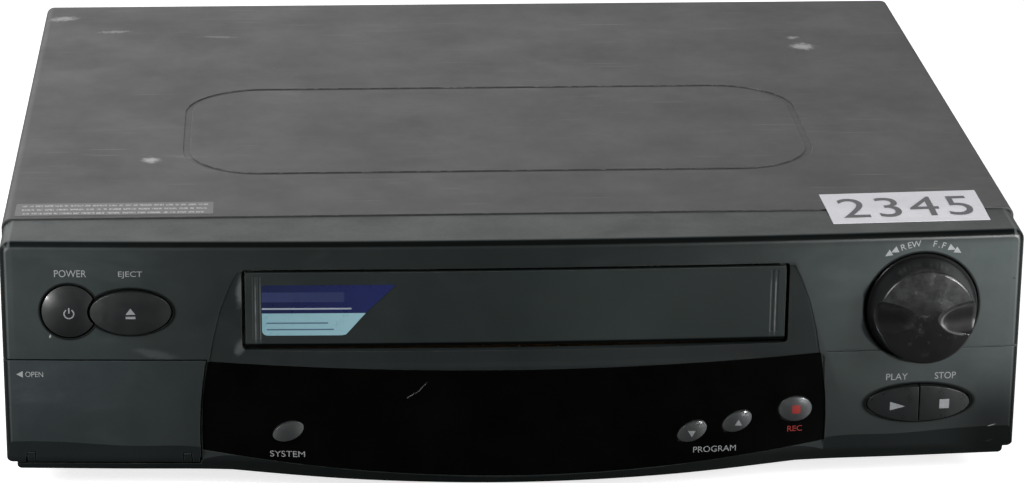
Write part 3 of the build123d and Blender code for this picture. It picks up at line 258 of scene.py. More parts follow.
def front_material(name, base, seed=0.0, edge_light=True):
    m, col, r, edge = plastic(name, base, 0.40, spec=0.5, grain=0.010, var=0.07)
    # painted light: the face is lightened towards both ends, most at the upper right
    x, y, z = m.xyz()
    end_light = m.math("MULTIPLY", m.rng(x, 0.055, 0.175, 0.0, 1.0, smooth=True), m.rng(z, 0.018, 0.056, 0.0, 1.0, smooth=True))
    past = m.math("SUBTRACT", x, m.math("ADD", 0.0980, m.math("MULTIPLY", m.math("SUBTRACT", 0.0818, z), 0.36)))
    end_light = m.math("MULTIPLY", end_light, m.math("MAXIMUM", m.rng(past, -0.001, 0.001, 0.15, 1.0, smooth=True), m.rng(z, 0.0815, 0.0850, 0.0, 1.0, smooth=True)))
    end_light = m.math("MULTIPLY", end_light, m.rng(z, 0.0880, 0.0905, 1.0, 0.0))
    end_light = m.math("ADD", m.math("MULTIPLY", end_light, 1.62), m.math("MULTIPLY", m.rng(x, -0.095, -0.178, 0.0, 1.0, smooth=True), m.rng(z, 0.0, 0.07, 0.15, 0.8, smooth=True)))
    end_light = m.math("MULTIPLY", end_light, m.rng(m.noise(40.0, 5.0, 0.65), 0.3, 0.7, 0.75, 1.2))
    col = m.scale_col(col, m.math("ADD", 1.0, end_light))
    # faint wiped smears, longer across than down
    sm = m.noise(30.0, 5.0, 0.7, vec=m.scaled(0.6, 1.0, 1.6, loc=(seed, 0, 0)), dist=0.4)
    smear = m.rng(sm, 0.52, 0.74, 0.0, 1.0, smooth=True)
    col = m.mix(col, m.scale_col(col, 1.5), m.math("MULTIPLY", smear, 0.35))
    r = m.math("ADD", r, m.math("MULTIPLY", smear, 0.08))
    # dust specks
    dust = m.rng(m.voronoi(420.0), 0.035, 0.02, 0.0, 1.0)
    dust = m.math("MULTIPLY", dust, m.rng(m.noise(60.0, 2.0), 0.58, 0.62, 0.0, 1.0))
    col = m.mix(col, (0.30, 0.30, 0.29), m.math("MULTIPLY", dust, 0.22))
    # painted shade: the middle zone, which leans forward, is darkened beside the door and under it
    ax = m.math("ABSOLUTE", x)
    rim = m.math("SUBTRACT", ax, m.math("ADD", 0.0976, m.math("MULTIPLY", m.math("POWER", m.math("MAXIMUM", m.math("SUBTRACT", 0.0818, z), 0.0), 0.62), 0.0795)))
    inner = m.math("MULTIPLY", m.rng(rim, 0.0002, -0.0006, 0.0, 1.0), m.math("MULTIPLY", m.rng(z, 0.0822, 0.0812, 0.0, 1.0), m.rng(z, 0.0440, 0.0446, 0.0, 1.0)))
    shade = m.math("MULTIPLY", inner, m.math("ADD", m.rng(x, 0.02, 0.09, 0.12, 0.42, smooth=True), m.rng(x, -0.02, -0.09, 0.0, 0.05, smooth=True)))
    col = m.scale_col(col, m.math("SUBTRACT", 1.0, shade))
    spec = m.math("SUBTRACT", 0.5, m.math("MULTIPLY", shade, 0.55))
    # painted light: the band on top is lightened, most in the middle, less towards the right
    nx, ny, nz = m.normal()
    band_light = m.math("MULTIPLY", m.rng(nz, 0.6, 0.9, 0.0, 1.0), m.math("SUBTRACT", m.rng(ax, 0.045, 0.125, 0.27, 0.06, smooth=True), m.rng(x, 0.10, 0.15, 0.0, 0.16, smooth=True)))
    col = m.scale_col(col, m.math("ADD", 1.0, band_light))
    # rolled edges: painted shade along the roll, a painted highlight where the flat face begins
    roll = m.math("MULTIPLY", m.math("MULTIPLY", m.math("MAXIMUM", m.math("MAXIMUM", nz, 0.0), m.math("ABSOLUTE", nx)), m.math("MULTIPLY", ny, -1.0)), 2.0)
    outer = m.math("MAXIMUM", m.rng(z, 0.0872, 0.0885, 0.0, 1.0), m.rng(ax, 0.1755, 0.1765, 0.0, 1.0))
    dark = m.math("MULTIPLY", m.rng(roll, 0.45, 0.85, 0.0, 1.0, smooth=True), outer)
    col = m.scale_col(col, m.math("SUBTRACT", 1.0, m.math("MULTIPLY", dark, 0.80)))
    spec = m.math("MULTIPLY", spec, m.math("SUBTRACT", 1.0, m.math("MULTIPLY", dark, 0.85)))
    if edge_light:
        pale = m.math("MULTIPLY", m.math("MULTIPLY", m.rng(m.math("ABSOLUTE", nx), 0.04, 0.14, 0.0, 1.0), m.rng(m.math("ABSOLUTE", nx), 0.22, 0.34, 1.0, 0.0)), m.rng(ax, 0.1745, 0.1755, 0.0, 1.0))
        pale = m.math("MULTIPLY", pale, m.rng(z, 0.045, 0.075, 0.25, 1.0))
        col = m.mix(col, (0.11, 0.12, 0.12), m.math("MULTIPLY", pale, 0.55))
    # painted shade: what leans towards the table is darkened
    lean = m.rng(nz, -0.05, -0.20, 0.0, 0.38, smooth=True)
    col = m.scale_col(col, m.math("SUBTRACT", 1.0, lean))
    spec = m.math("MULTIPLY", spec, m.math("SUBTRACT", 1.0, lean))
    # painted shade at the lower right corner and along the bottom edge
    low = m.math("MULTIPLY", m.rng(x, 0.150, 0.170, 0.0, 1.0, smooth=True), m.rng(z, 0.040, 0.022, 0.0, 1.0, smooth=True))
    low = m.math("MAXIMUM", m.math("MULTIPLY", low, 0.50), m.rng(z, 0.0125, 0.0105, 0.0, 0.34))
    col = m.scale_col(col, m.math("SUBTRACT", 1.0, low))
    spec = m.math("MULTIPLY", spec, m.math("SUBTRACT", 1.0, low))
    # painted shade in the gaps round the buttons and the dial
    gap_shade = None
    for cx, cz, rx, rz in BUTTONS:
        k = m.around(cx, cz, rx, rz, 1.0 + 0.25 / min(rx, rz), 1.0 + 0.95 / min(rx, rz))
        gap_shade = k if gap_shade is None else m.math("MAXIMUM", gap_shade, k)
    col = m.scale_col(col, m.math("SUBTRACT", 1.0, m.math("MULTIPLY", gap_shade, 0.85)))
    spec = m.math("MULTIPLY", spec, m.math("SUBTRACT", 1.0, m.math("MULTIPLY", gap_shade, 0.8)))
    m.spec = spec
    # rubbed edges
    em = m.math("MULTIPLY", m.edge_mask(0.0006), m.rng(m.noise(220.0, 4.0, 0.7), 0.45, 0.7, 0.15, 1.0))
    col = m.mix(col, (0.16, 0.165, 0.165), m.math("MULTIPLY", em, 0.30))
    return m, col, r, edge


FRONT = (0.0170, 0.0220, 0.0216)
m, col, r, edge = front_material("front_moulding", FRONT)
# scuffs beside the cassette opening, a chip by the power button, nicks
for c, rad, rot, amount, tone in (
        (W(-96.0, -3.5, 75.0), (0.0024, 0.006, 0.0070), (0, 0.1, 0), 0.55, (0.15, 0.16, 0.16)),
        (W(-96.6, -3.5, 54.0), (0.0024, 0.006, 0.0042), (0, 0.5, 0), 0.45, (0.13, 0.14, 0.14)),
        (W(-162.6, -0.9, 58.2), (0.0004, 0.004, 0.0010), (0, 0.3, 0), 1.0, (0.33, 0.34, 0.34)),
        (W(-126.0, -2.8, 51.5), (0.010, 0.006, 0.0022), (0, 0.2, 0), 0.25, (0.11, 0.12, 0.12)),
        (W(-127.7, 9.0, 92.6), (0.0088, 0.00028, 0.003), (0, 0, 0.61), 0.85, (0.005, 0.006, 0.006)),
        (W(-121.0, 8.2, 92.6), (0.0040, 0.00022, 0.003), (0, 0, 0.20), 0.6, (0.010, 0.011, 0.011)),
        (W(170.9, -0.8, 18.9), (0.0020, 0.004, 0.00026), (0, -0.25, 0), 0.9, (0.24, 0.25, 0.25)),
        (W(176.2, -0.3, 74.7), (0.0006, 0.004, 0.0006), (0, 0, 0), 0.9, (0.004, 0.004, 0.004)),
        (W(97.2, -3.5, 82.0), (0.0024, 0.004, 0.0014), (0, 0.6, 0), 0.8, (0.006, 0.007, 0.007))):
    col = m.mix(col, tone, m.math("MULTIPLY", m.spot(c, rad, rot, soft=0.7, ragged=0.45), amount))
MATS["front_moulding"] = m.done(col, r, edge=edge, spec=m.spec)
m, col, r, edge = front_material("door_moulding", FRONT, 3.0, edge_light=False)
dx_, dy_, dz_ = m.xyz()
# painted light: the door is lightened, more towards the right
col = m.scale_col(col, m.rng(dx_, -0.03, 0.06, 1.42, 1.88, smooth=True))
# painted highlight on the crests of the flutes, and painted shade along the door's rim
dax = m.math("ABSOLUTE", dx_)
flute_highlight = m.math("MAXIMUM", m.rng(m.math("ABSOLUTE", m.math("SUBTRACT", dax, 0.0911)), 0.00035, 0.0001, 0.0, 1.0), m.rng(m.math("ABSOLUTE", m.math("SUBTRACT", dax, 0.0894)), 0.00030, 0.0001, 0.0, 0.6))
flute_highlight = m.math("MULTIPLY", flute_highlight, m.math("MULTIPLY", m.rng(dz_, 0.0545, 0.0575, 0.0, 1.0), m.rng(dz_, 0.0775, 0.0750, 0.0, 1.0)))
col = m.mix(col, (0.17, 0.18, 0.18), m.math("MULTIPLY", flute_highlight, m.rng(m.noise(300.0, 3.0), 0.3, 0.7, 0.25, 0.7)))
door_lo, door_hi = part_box("cassette_door")
# painted shade along the door's rim, widening the dark gap round it
rim = m.math("MAXIMUM", m.rng(dz_, door_lo.z + 0.0013, door_lo.z + 0.0009, 0.0, 1.0), m.rng(dz_, door_hi.z - 0.0008, door_hi.z - 0.0004, 0.0, 1.0))
rim = m.math("MAXIMUM", rim, m.rng(dax, door_hi.x - 0.0007, door_hi.x - 0.0004, 0.0, 1.0))
col = m.scale_col(col, m.math("SUBTRACT", 1.0, m.math("MULTIPLY", rim, 0.92)))
m.spec = m.math("MULTIPLY", m.spec, m.math("SUBTRACT", 1.0, m.math("MULTIPLY", rim, 0.9)))
MATS["door_moulding"] = m.done(col, r, edge=edge, spec=m.spec)
m, col, r, edge = front_material("flap_moulding", (FRONT[0] * 1.04, FRONT[1] * 1.05, FRONT[2] * 1.12), 7.0)
MATS["flap_moulding"] = m.done(col, r, edge=edge, spec=m.spec)

# smoked window -------------------------------------------------------
m = Mat("smoked_window", (0.0022, 0.0022, 0.0022), 0.12, spec=0.12)
f = m.rng(m.noise(26.0, 5.0, 0.7), 0.35, 0.7, 0.7, 1.6)
col = m.scale_col((0.0018, 0.0018, 0.0017), f)
r = m.math("ADD", m.rng(m.noise(60.0, 6.0, 0.7), 0.4, 0.75, 0.07, 0.20), m.rng(m.noise(700.0, 3.0), 0.3, 0.7, 0.0, 0.03))
# one angled scratch
x, y, z = m.xyz()
for (cx, cz), ang, ln in (((-0.0335, 0.0395), 0.80, 0.0032), ((-0.0372, 0.0368), 0.6, 0.0017)):
    dx = m.math("SUBTRACT", x, cx)
    dz = m.math("SUBTRACT", z, cz)
    wob = m.math("MULTIPLY", m.math("SUBTRACT", m.noise(900.0, 2.0), 0.5), 0.0010)
    across = m.math("ADD", m.math("SUBTRACT", m.math("MULTIPLY", dz, math.cos(ang)), m.math("MULTIPLY", dx, math.sin(ang))), wob)
    along = m.math("ADD", m.math("MULTIPLY", dx, math.cos(ang)), m.math("MULTIPLY", dz, math.sin(ang)))
    h = m.math("MULTIPLY", m.rng(m.math("ABSOLUTE", across), 0.00016, 0.00008, 0.0, 1.0), m.rng(m.math("ABSOLUTE", along), ln, ln * 0.9, 0.0, 1.0))
    col = m.mix(col, (0.20, 0.21, 0.21), m.math("MULTIPLY", h, m.rng(m.noise(900.0, 3.0), 0.35, 0.6, 0.1, 0.75)))
dust = m.math("MULTIPLY", m.rng(m.voronoi(650.0), 0.05, 0.03, 0.0, 1.0), m.rng(m.noise(90.0, 2.0), 0.56, 0.6, 0.0, 1.0))
col = m.mix(col, (0.2, 0.2, 0.2), m.math("MULTIPLY", dust, 0.25))
MATS["smoked_window"] = m.done(col, r, edge=0.0003)

# painted cover -------------------------------------------------------
COVER = (0.052, 0.052, 0.052)
m = Mat("cover_paint", COVER, 0.42, spec=0.45)
big = m.noise(7.0, 5.0, 0.65, dist=0.3)
f = m.rng(big, 0.3, 0.7, 0.93, 1.06)
f = m.math("MULTIPLY", f, m.rng(m.noise(70.0, 5.0, 0.7), 0.3, 0.7, 0.965, 1.035))
f = m.math("MULTIPLY", f, m.rng(m.noise(2600.0, 2.0, 0.5), 0.25, 0.75, 0.94, 1.06))
cx_, cy_, cz_ = m.xyz()
# painted shade: the cover darkens towards the right
f = m.math("MULTIPLY", f, m.rng(cx_, -0.13, 0.14, 1.0, 0.77, smooth=True))
col = m.scale_col(COVER, f)
# rub marks: soft lighter strokes and fine scratches
st = m.rng(m.noise(1.0, 4.0, 0.6, vec=m.scaled(14.0, 60.0, 14.0, rot=(0, 0, 0.35)), dist=0.5), 0.6, 0.78, 0.0, 1.0, smooth=True)
col = m.mix(col, m.scale_col(col, 1.28), m.math("MULTIPLY", st, 0.30))
dk = m.rng(m.noise(1.0, 4.0, 0.6, vec=m.scaled(26.0, 11.0, 14.0, rot=(0, 0, -0.5), loc=(4, 2, 0)), dist=0.6), 0.6, 0.8, 0.0, 1.0, smooth=True)
col = m.mix(col, m.scale_col(col, 0.78), m.math("MULTIPLY", dk, 0.30))
flat = m.rng(m.normal()[2], 0.5, 0.9, 0.12, 1.0)
for i, (ang, hi) in enumerate(((0.4, 0.71), (-0.7, 0.72), (1.3, 0.715), (2.4, 0.72))):
    h = m.rng(m.noise(1.0, 1.5, 0.5, vec=m.scaled(22.0, 1300.0, 22.0, rot=(0, 0, ang), loc=(i * 5.3, 0, 0))), hi, hi + 0.025, 0.0, 1.0)
    h = m.math("MULTIPLY", h, m.rng(m.noise(11.0, 2.0, 0.5, vec=m.scaled(1, 1, 1, loc=(i * 2.0, 1, 0))), 0.5, 0.6, 0.0, 1.0))
    col = m.mix(col, (0.30, 0.30, 0.29), m.math("MULTIPLY", m.math("MULTIPLY", h, flat), 0.50))
    m.lift(m.math("MULTIPLY", h, -0.02))
for c, rad, rot, amount, tone in (
        (W(-172, 282, 93), (0.0075, 0.0045, 0.004), (0, 0, 0.3), 0.85, (0.46, 0.46, 0.46)),
        (W(-150, 261.5, 93), (0.0085, 0.0028, 0.004), (0, 0, 0.1), 0.62, (0.36, 0.36, 0.36)),
        (W(-107, 252.5, 93), (0.010, 0.0022, 0.004), (0, 0, -0.1), 0.5, (0.28, 0.28, 0.28)),
        (W(133, 231, 93), (0.0062, 0.0065, 0.004), (0, 0, 0.5), 0.85, (0.46, 0.46, 0.46)),
        (W(131, 244, 93), (0.0035, 0.0025, 0.004), (0, 0, 0.2), 0.7, (0.40, 0.40, 0.40)),
        (W(-129.5, 89, 93), (0.0042, 0.0045, 0.004), (0, 0, 0), 0.9, (0.48, 0.48, 0.48)),
        (W(-118, 93, 93), (0.009, 0.0028, 0.004), (0, 0, -0.2), 0.22, (0.22, 0.22, 0.22)),
        (W(-60, 205, 93), (0.05, 0.012, 0.004), (0, 0, 0.2), 0.12, (0.20, 0.20, 0.20)),
        (W(60, 250, 93), (0.06, 0.018, 0.004), (0, 0, -0.15), 0.10, (0.05, 0.05, 0.05))):
    col = m.mix(col, tone, m.math("MULTIPLY", m.spot(c, rad, rot, soft=0.85, ragged=0.75, grain=450.0), amount))
em = m.math("MULTIPLY", m.edge_mask(0.0008), m.rng(m.noise(300.0, 4.0, 0.7), 0.5, 0.66, 0.0, 1.0))
col = m.mix(col, (0.32, 0.32, 0.31), m.math("MULTIPLY", em, 0.35))
r = m.math("ADD", m.rng(m.noise(30.0, 6.0, 0.7), 0.3, 0.7, 0.38, 0.50), m.math("MULTIPLY", st, -0.05))
m.lift(m.math("MULTIPLY", m.noise(1500.0, 2.0, 0.6), 0.012))
MATS["cover_paint"] = m.done(col, r, edge=0.0003)

# buttons, dial --------------------------------------------------------
def lacquer(name, base, rough, metal, coat=0.5, flake=0.10):
    m = Mat(name, base, rough, metal=metal, spec=0.5, coat=coat, coat_rough=0.12)
    f = m.math("ADD", m.rng(m.noise(2800.0, 2.0, 0.6), 0.25, 0.75, 1 - flake, 1 + flake), m.rng(m.noise(120.0, 4.0, 0.6), 0.3, 0.7, -0.05, 0.05))
    col = m.scale_col(base, f)
    r = m.rng(m.noise(240.0, 5.0, 0.65), 0.3, 0.7, rough - 0.05, rough + 0.07)
    # painted shade on the button edges, mottled
    edge_shade = m.math("MULTIPLY", m.edge_mask(0.0007), m.rng(m.noise(500.0, 3.0), 0.35, 0.6, 0.35, 1.0))
    col = m.mix(col, (0.012, 0.012, 0.012), m.math("MULTIPLY", edge_shade, 0.8))
    m.lift(m.math("MULTIPLY", m.noise(1800.0, 2.0), 0.004))
    MATS[name] = m.done(col, r, edge=0.00035)


lacquer("small_button", (0.095, 0.10, 0.102), 0.34, 0.55)
lacquer("large_button", (0.0145, 0.016, 0.0165), 0.36, 0.0, coat=0.18)
lacquer("lens_button", (0.0145, 0.016, 0.0165), 0.30, 0.0, coat=0.30, flake=0.05)

m = Mat("dial_gloss", (0.012, 0.012, 0.0125), 0.2, spec=0.5)
dc = W(143.4, -13.5, 64.9)
v = m.vmath("SUBTRACT", m.co, tuple(dc))
sep = m.node("ShaderNodeSeparateXYZ")
m.t.links.new(v, sep.inputs[0])
rad = m.vmath("LENGTH", m.vmath("MULTIPLY", v, (1, 0, 1)))
wear = m.rng(m.noise(170.0, 6.0, 0.75, dist=0.6), 0.50, 0.66, 0.0, 1.0, smooth=True)
fine = m.rng(m.noise(900.0, 5.0, 0.75, dist=0.3), 0.52, 0.68, 0.0, 1.0)
worn = m.math("MULTIPLY", wear, m.rng(rad, 0.0165, 0.006, 0.0, 1.0, smooth=True))
worn = m.math("MAXIMUM", worn, m.math("MULTIPLY", m.spot(W(150.3, -13.5, 69.5), (0.0058, 0.008, 0.0034), (0, 0.6, 0), soft=0.7, ragged=0.8, grain=500), 1.0))
worn = m.math("MAXIMUM", worn, m.math("MULTIPLY", m.spot(W(144.6, -13.5, 79.5), (0.0012, 0.006, 0.0035), (0, 0.2, 0), soft=0.7, ragged=0.8, grain=700), 0.7))
worn = m.math("MULTIPLY", worn, m.math("ADD", 0.35, m.math("MULTIPLY", fine, 0.65)))
col = m.mix((0.010, 0.010, 0.0105), (0.075, 0.077, 0.078), m.math("MULTIPLY", worn, 0.75))
r = m.math("ADD", m.rng(m.noise(200.0, 5.0, 0.7), 0.3, 0.7, 0.16, 0.26), m.math("MULTIPLY", worn, 0.22))
m.lift(m.math("MULTIPLY", m.math("MULTIPLY", wear, fine), 0.02))
# the scoops are duller than the ring, and their colour is darkened as painted shade
sco = m.math("MULTIPLY", m.rng(rad, 0.0176, 0.0166, 0.0, 1.0), m.rng(m.math("ABSOLUTE", sep.outputs[0]), 0.0035, 0.0085, 0.0, 1.0, smooth=True))
sco = m.math("MULTIPLY", sco, m.rng(m.math("ABSOLUTE", m.math("ADD", sep.outputs[2], 0.001)), 0.0030, 0.0058, 1.0, 0.0, smooth=True))
r = m.math("ADD", r, m.math("MULTIPLY", sco, 0.22))
col = m.scale_col(col, m.math("SUBTRACT", 1.0, m.math("MULTIPLY", sco, 0.6)))
# painted highlight: a pale rim along the lower left edge of the right scoop
rim = m.around(143.4 + 15.6, 64.9 - 1.2, 10.4, 5.2, 1.0, 1.08)
rim = m.math("MULTIPLY", rim, m.math("SUBTRACT", 1.0, m.around(143.4 + 15.6, 64.9 - 1.2, 10.4, 5.2, 0.93, 1.0)))
rim = m.math("MULTIPLY", rim, m.math("MULTIPLY", m.rng(rad, 0.0150, 0.0140, 0.0, 1.0), m.rng(sep.outputs[2], 0.003, -0.001, 0.25, 1.0)))
col = m.mix(col, (0.20, 0.20, 0.20), m.math("MULTIPLY", rim, 0.55))
# lighter across the top of the face, in patches
top_ = m.math("MULTIPLY", m.rng(sep.outputs[2], -0.001, 0.008, 0.0, 1.0, smooth=True), m.rng(rad, 0.0178, 0.0165, 0.0, 1.0))
col = m.mix(col, (0.055, 0.057, 0.058), m.math("MULTIPLY", top_, m.rng(m.noise(260.0, 5.0, 0.7), 0.35, 0.7, 0.15, 0.6)))
MATS["dial_gloss"] = m.done(col, r, edge=0.0004, spec=m.math("SUBTRACT", 0.5, m.math("MULTIPLY", sco, 0.38)))

# plain plastics and rubber ---------------------------------------------
simple("black_moulding", (0.012, 0.012, 0.013), 0.5, var=0.15)
simple("switch_plastic", (0.02, 0.02, 0.021), 0.42, var=0.15)
simple("component_black", (0.016, 0.016, 0.018), 0.38, var=0.25)
simple("foot_plastic", (0.014, 0.014, 0.014), 0.7, var=0.2, grain=0.03)
simple("roller_rubber", (0.012, 0.012, 0.012), 0.6, var=0.2)
simple("reel_plastic", (0.50, 0.50, 0.46), 0.42, var=0.05)
simple("gear_plastic", (0.70, 0.69, 0.62), 0.4, var=0.05)
simple("rear_steel", (0.022, 0.022, 0.022), 0.45, var=0.15, grain=0.02)

# circuit boards ----------------------------------------------------------
def board(name, base, track, light):
    m = Mat(name, base, 0.5, spec=0.5)
    f = m.rng(m.noise(40.0, 4.0, 0.6), 0.3, 0.7, 0.85, 1.15)
    col = m.scale_col(base, f)
    cells = m.node("ShaderNodeTexVoronoi", feature="DISTANCE_TO_EDGE")
    m.put(cells.inputs["Vector"], m.co)
    cells.inputs["Scale"].default_value = 120.0
    tr = m.rng(cells.outputs["Distance"], 0.10, 0.07, 0.0, 1.0)
    col = m.mix(col, track, m.math("MULTIPLY", tr, 0.6))
    holes = m.rng(m.voronoi(260.0), 0.16, 0.12, 0.0, 1.0)
    col = m.mix(col, light, m.math("MULTIPLY", holes, 0.7))
    m.lift(m.math("MULTIPLY", tr, 0.03))
    MATS[name] = m.done(col, m.rng(tr, 0.0, 1.0, 0.5, 0.34), edge=0.0002)


board("board_brown", (0.20, 0.11, 0.045), (0.13, 0.065, 0.025), (0.45, 0.45, 0.42))
board("board_green", (0.015, 0.075, 0.03), (0.02, 0.12, 0.045), (0.45, 0.45, 0.42))

# metals -------------------------------------------------------------------
def metal(name, base, rough, brushed=(1.0, 1.0, 1.0), amount=0.14, tarnish=0.1, dark=(0.25, 0.24, 0.22)):
    m = Mat(name, base, rough, metal=1.0)
    v = m.scaled(*brushed)
    st = m.noise(900.0, 3.0, 0.6, vec=v)
    f = m.rng(st, 0.25, 0.75, 1 - amount, 1 + amount * 0.5)
    col = m.scale_col(base, f)
    t = m.rng(m.noise(60.0, 6.0, 0.7), 0.5, 0.8, 0.0, tarnish)
    col = m.mix(col, dark, t)
    r = m.math("ADD", m.rng(st, 0.25, 0.75, rough - 0.06, rough + 0.08), t)
    m.lift(m.math("MULTIPLY", st, 0.006))
    MATS[name] = m.done(col, r, edge=0.0002)


metal("zinc_steel", (0.56, 0.56, 0.53), 0.36, (0.2, 1.0, 1.0), tarnish=0.35)
metal("tinned_steel", (0.62, 0.62, 0.60), 0.30, tarnish=0.25)
metal("screw_steel", (0.42, 0.42, 0.41), 0.34, tarnish=0.3)
metal("cover_screw", (0.045, 0.045, 0.047), 0.32, tarnish=0.3, dark=(0.2, 0.2, 0.2))
metal("spring_wire", (0.6, 0.6, 0.6), 0.25)
metal("socket_plate_metal", (0.72, 0.70, 0.66), 0.2, tarnish=0.2)
metal("nickel", (0.72, 0.70, 0.66), 0.18, tarnish=0.2)
metal("laminated_iron", (0.20, 0.19, 0.18), 0.5, (0.05, 1.0, 1.0), amount=0.4)
metal("aluminium_sheet", (0.66, 0.66, 0.68), 0.35, (1.0, 1.0, 0.1))
metal("turned_aluminium", (0.78, 0.78, 0.80), 0.22, (0.15, 0.15, 3.0), tarnish=0.05)
metal("head_metal", (0.66, 0.66, 0.66), 0.16, tarnish=0.1)
metal("polished_steel", (0.7, 0.7, 0.71), 0.12, tarnish=0.05)
metal("bearing_brass", (0.75, 0.56, 0.24), 0.28, tarnish=0.25, dark=(0.3, 0.18, 0.06))
m = Mat("coil_tape", (0.60, 0.42, 0.06), 0.35)
col = m.scale_col((0.62, 0.44, 0.07), m.rng(m.noise(1.0, 3.0, 0.6, vec=m.scaled(20.0, 500.0, 20.0)), 0.3, 0.7, 0.8, 1.1))
MATS["coil_tape"] = m.done(col, m.rng(m.noise(90.0, 4.0), 0.3, 0.7, 0.25, 0.45), edge=0.0003)
m = Mat("display_glass", (0.05, 0.06, 0.055), 0.08, spec=0.6)
col = m.mix((0.03, 0.035, 0.033), (0.10, 0.12, 0.11), m.rng(m.voronoi(900.0), 0.2, 0.5))
MATS["display_glass"] = m.done(col, m.rng(m.noise(80.0, 4.0), 0.3, 0.7, 0.05, 0.15), edge=0.0003)

# ------------------------------------------------------------------ finish of every CAD node
slots = {s["node"]: s["material_slot"] for s in frame["record"]["subparts"]}
for name, ob in N.items():
    ob.data.materials.clear()
    ob.data.materials.append(MATS[slots[name]])


# ------------------------------------------------------------------ things laid on surfaces
def tree(*nodes):
    verts, polys = [], []
    for n in nodes:
        me = (N[n] if n in N else bpy.data.objects[n]).data
        off = len(verts)
        verts += [v.co.copy() for v in me.vertices]
        polys += [[i + off for i in p.vertices] for p in me.polygons]
    return BVHTree.FromPolygons(verts, polys)


TREES = {}


def hit_front(nodes, x, z):
    """y of the first surface met going back from the front, at x, z in metres."""
    if nodes not in TREES:
        TREES[nodes] = tree(*nodes)
    h = TREES[nodes].ray_cast(Vector((x, -0.25, z)), Vector((0, 1, 0)))
    return None if h[0] is None else h[0].y


def hit_top(nodes, x, y):
    if nodes not in TREES:
        TREES[nodes] = tree(*nodes)
    h = TREES[nodes].ray_cast(Vector((x, y, 0.25)), Vector((0, 0, -1)))
    return None if h[0] is None else h[0].z


def new_mesh(name, bm):
    me = bpy.data.meshes.new(name)
    bm.to_mesh(me)
    bm.free()
    ob = bpy.data.objects.new(name, me)
    S.collection.objects.link(ob)
    return ob


def lay_front(bm, nodes, lift=0.00004, thick=0.0):
    """Drops a flat mesh in x, z onto the front surfaces."""
    for v in bm.verts:
        y = hit_front(nodes, v.co.x, v.co.z)
        if y is None:
            y = min((hit_front(nodes, v.co.x + dx, v.co.z + dz) or 9) for dx in (-0.0004, 0, 0.0004) for dz in (-0.0004, 0, 0.0004))
        v.co.y = y - lift


def lay_top(bm, nodes, lift=0.00005):
    for v in bm.verts:
        z = hit_top(nodes, v.co.x, v.co.y)
        v.co.z = (z if z is not None else 0.0926) + lift


def lay_top_stiff(bm, nodes, lift, reach=0.005):
    """Lays a sheet on the highest points near each place, evened out, so that it bridges joints."""
    seen = {}

    def top(x, y):
        k = (round(x * 4000), round(y * 2000))
        if k not in seen:
            seen[k] = hit_top(nodes, x, y)
        return seen[k]

    def high(x, y):
        zs = [top(x, y + d * reach / 4) for d in range(-4, 5)]
        zs = [z for z in zs if z is not None]
        return max(zs) if zs else 0.0926

    for v in bm.verts:
        v.co.z = sum(high(v.co.x, v.co.y + d * 0.0015) for d in range(-3, 4)) / 7 + lift


def text_bm(s, spacing=1.0, shear=0.0, bold=0.0):
    cu = bpy.data.curves.new("t", "FONT")
    cu.body = s
    cu.space_character = spacing
    cu.shear = shear
    cu.offset = bold
    cu.resolution_u = 6
    ob = bpy.data.objects.new("t", cu)
    S.collection.objects.link(ob)
    dg = bpy.context.evaluated_depsgraph_get()
    me = bpy.data.meshes.new_from_object(ob.evaluated_get(dg))
    bm = bmesh.new()
    bm.from_mesh(me)
    bpy.data.objects.remove(ob)
    bpy.data.curves.remove(cu)
    bpy.data.meshes.remove(me)
    return bm


def extent(bm):
    xs = [v.co.x for v in bm.verts]
    ys = [v.co.y for v in bm.verts]
    return min(xs), max(xs), min(ys), max(ys)


def flat_front(bm, place):
    """Turns a bmesh drawn in x, y (mm) into x, z in metres through place(x, y) -> (x, z) in mm."""
    for v in bm.verts:
        x, z = place(v.co.x, v.co.y)
        v.co = Vector((x * MM, 0, z * MM))


def fine(bm, size):
    bmesh.ops.triangulate(bm, faces=bm.faces[:])
    for _ in range(9):
        long = [e for e in bm.edges if e.calc_length() > size]
        if not long:
            break
        bmesh.ops.subdivide_edges(bm, edges=long, cuts=1)
        bmesh.ops.triangulate(bm, faces=bm.faces[:])


def facing_front(bm):
    bmesh.ops.recalc_face_normals(bm, faces=bm.faces[:])
    for f in bm.faces:
        if f.normal.y > 0:
            f.normal_flip()


def finish_piece(name, bm, mat, body, nodes, lift=0.00004, size=0.0006, top=False):
    fine(bm, size)
    if top:
        lay_top(bm, nodes, lift)
        bmesh.ops.recalc_face_normals(bm, faces=bm.faces[:])
        for f in bm.faces:
            if f.normal.z < 0:
                f.normal_flip()
    else:
        lay_front(bm, nodes, lift)
        facing_front(bm)
    ob = new_mesh(name, bm)
    ob.data.materials.append(mat)
    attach(ob, body)
    return ob


# printing inks
def ink(name, base, rough=0.5):
    m = Mat(name, base, rough)
    f = m.rng(m.noise(900.0, 4.0, 0.7), 0.3, 0.7, 0.86, 1.05)
    col = m.scale_col(base, f)
    wear = m.rng(m.noise(2400.0, 3.0, 0.6), 0.66, 0.72, 0.0, 1.0)
    col = m.mix(col, (0.05, 0.055, 0.055), m.math("MULTIPLY", wear, 0.4))
    return m.done(col, rough)


INK = ink("ink_grey", (0.29, 0.30, 0.305))
INK_RED = ink("ink_red", (0.29, 0.022, 0.018))
INK_PALE = ink("ink_pale", (0.26, 0.27, 0.28))

FACE = ("front_fascia",)
WIN = ("display_window",)


def word(name, s, x0, x1, z0, z1, nodes, body="recorder", mat=None, bold=0.0, spacing=1.0, shear=0.0):
    bm = text_bm(s, spacing=spacing, bold=bold, shear=shear)
    a, b, c, d = extent(bm)
    flat_front(bm, lambda x, y: (x0 + (x - a) / (b - a) * (x1 - x0), z0 + (y - c) / (d - c) * (z1 - z0)))
    return finish_piece(name, bm, mat or INK, body, nodes)


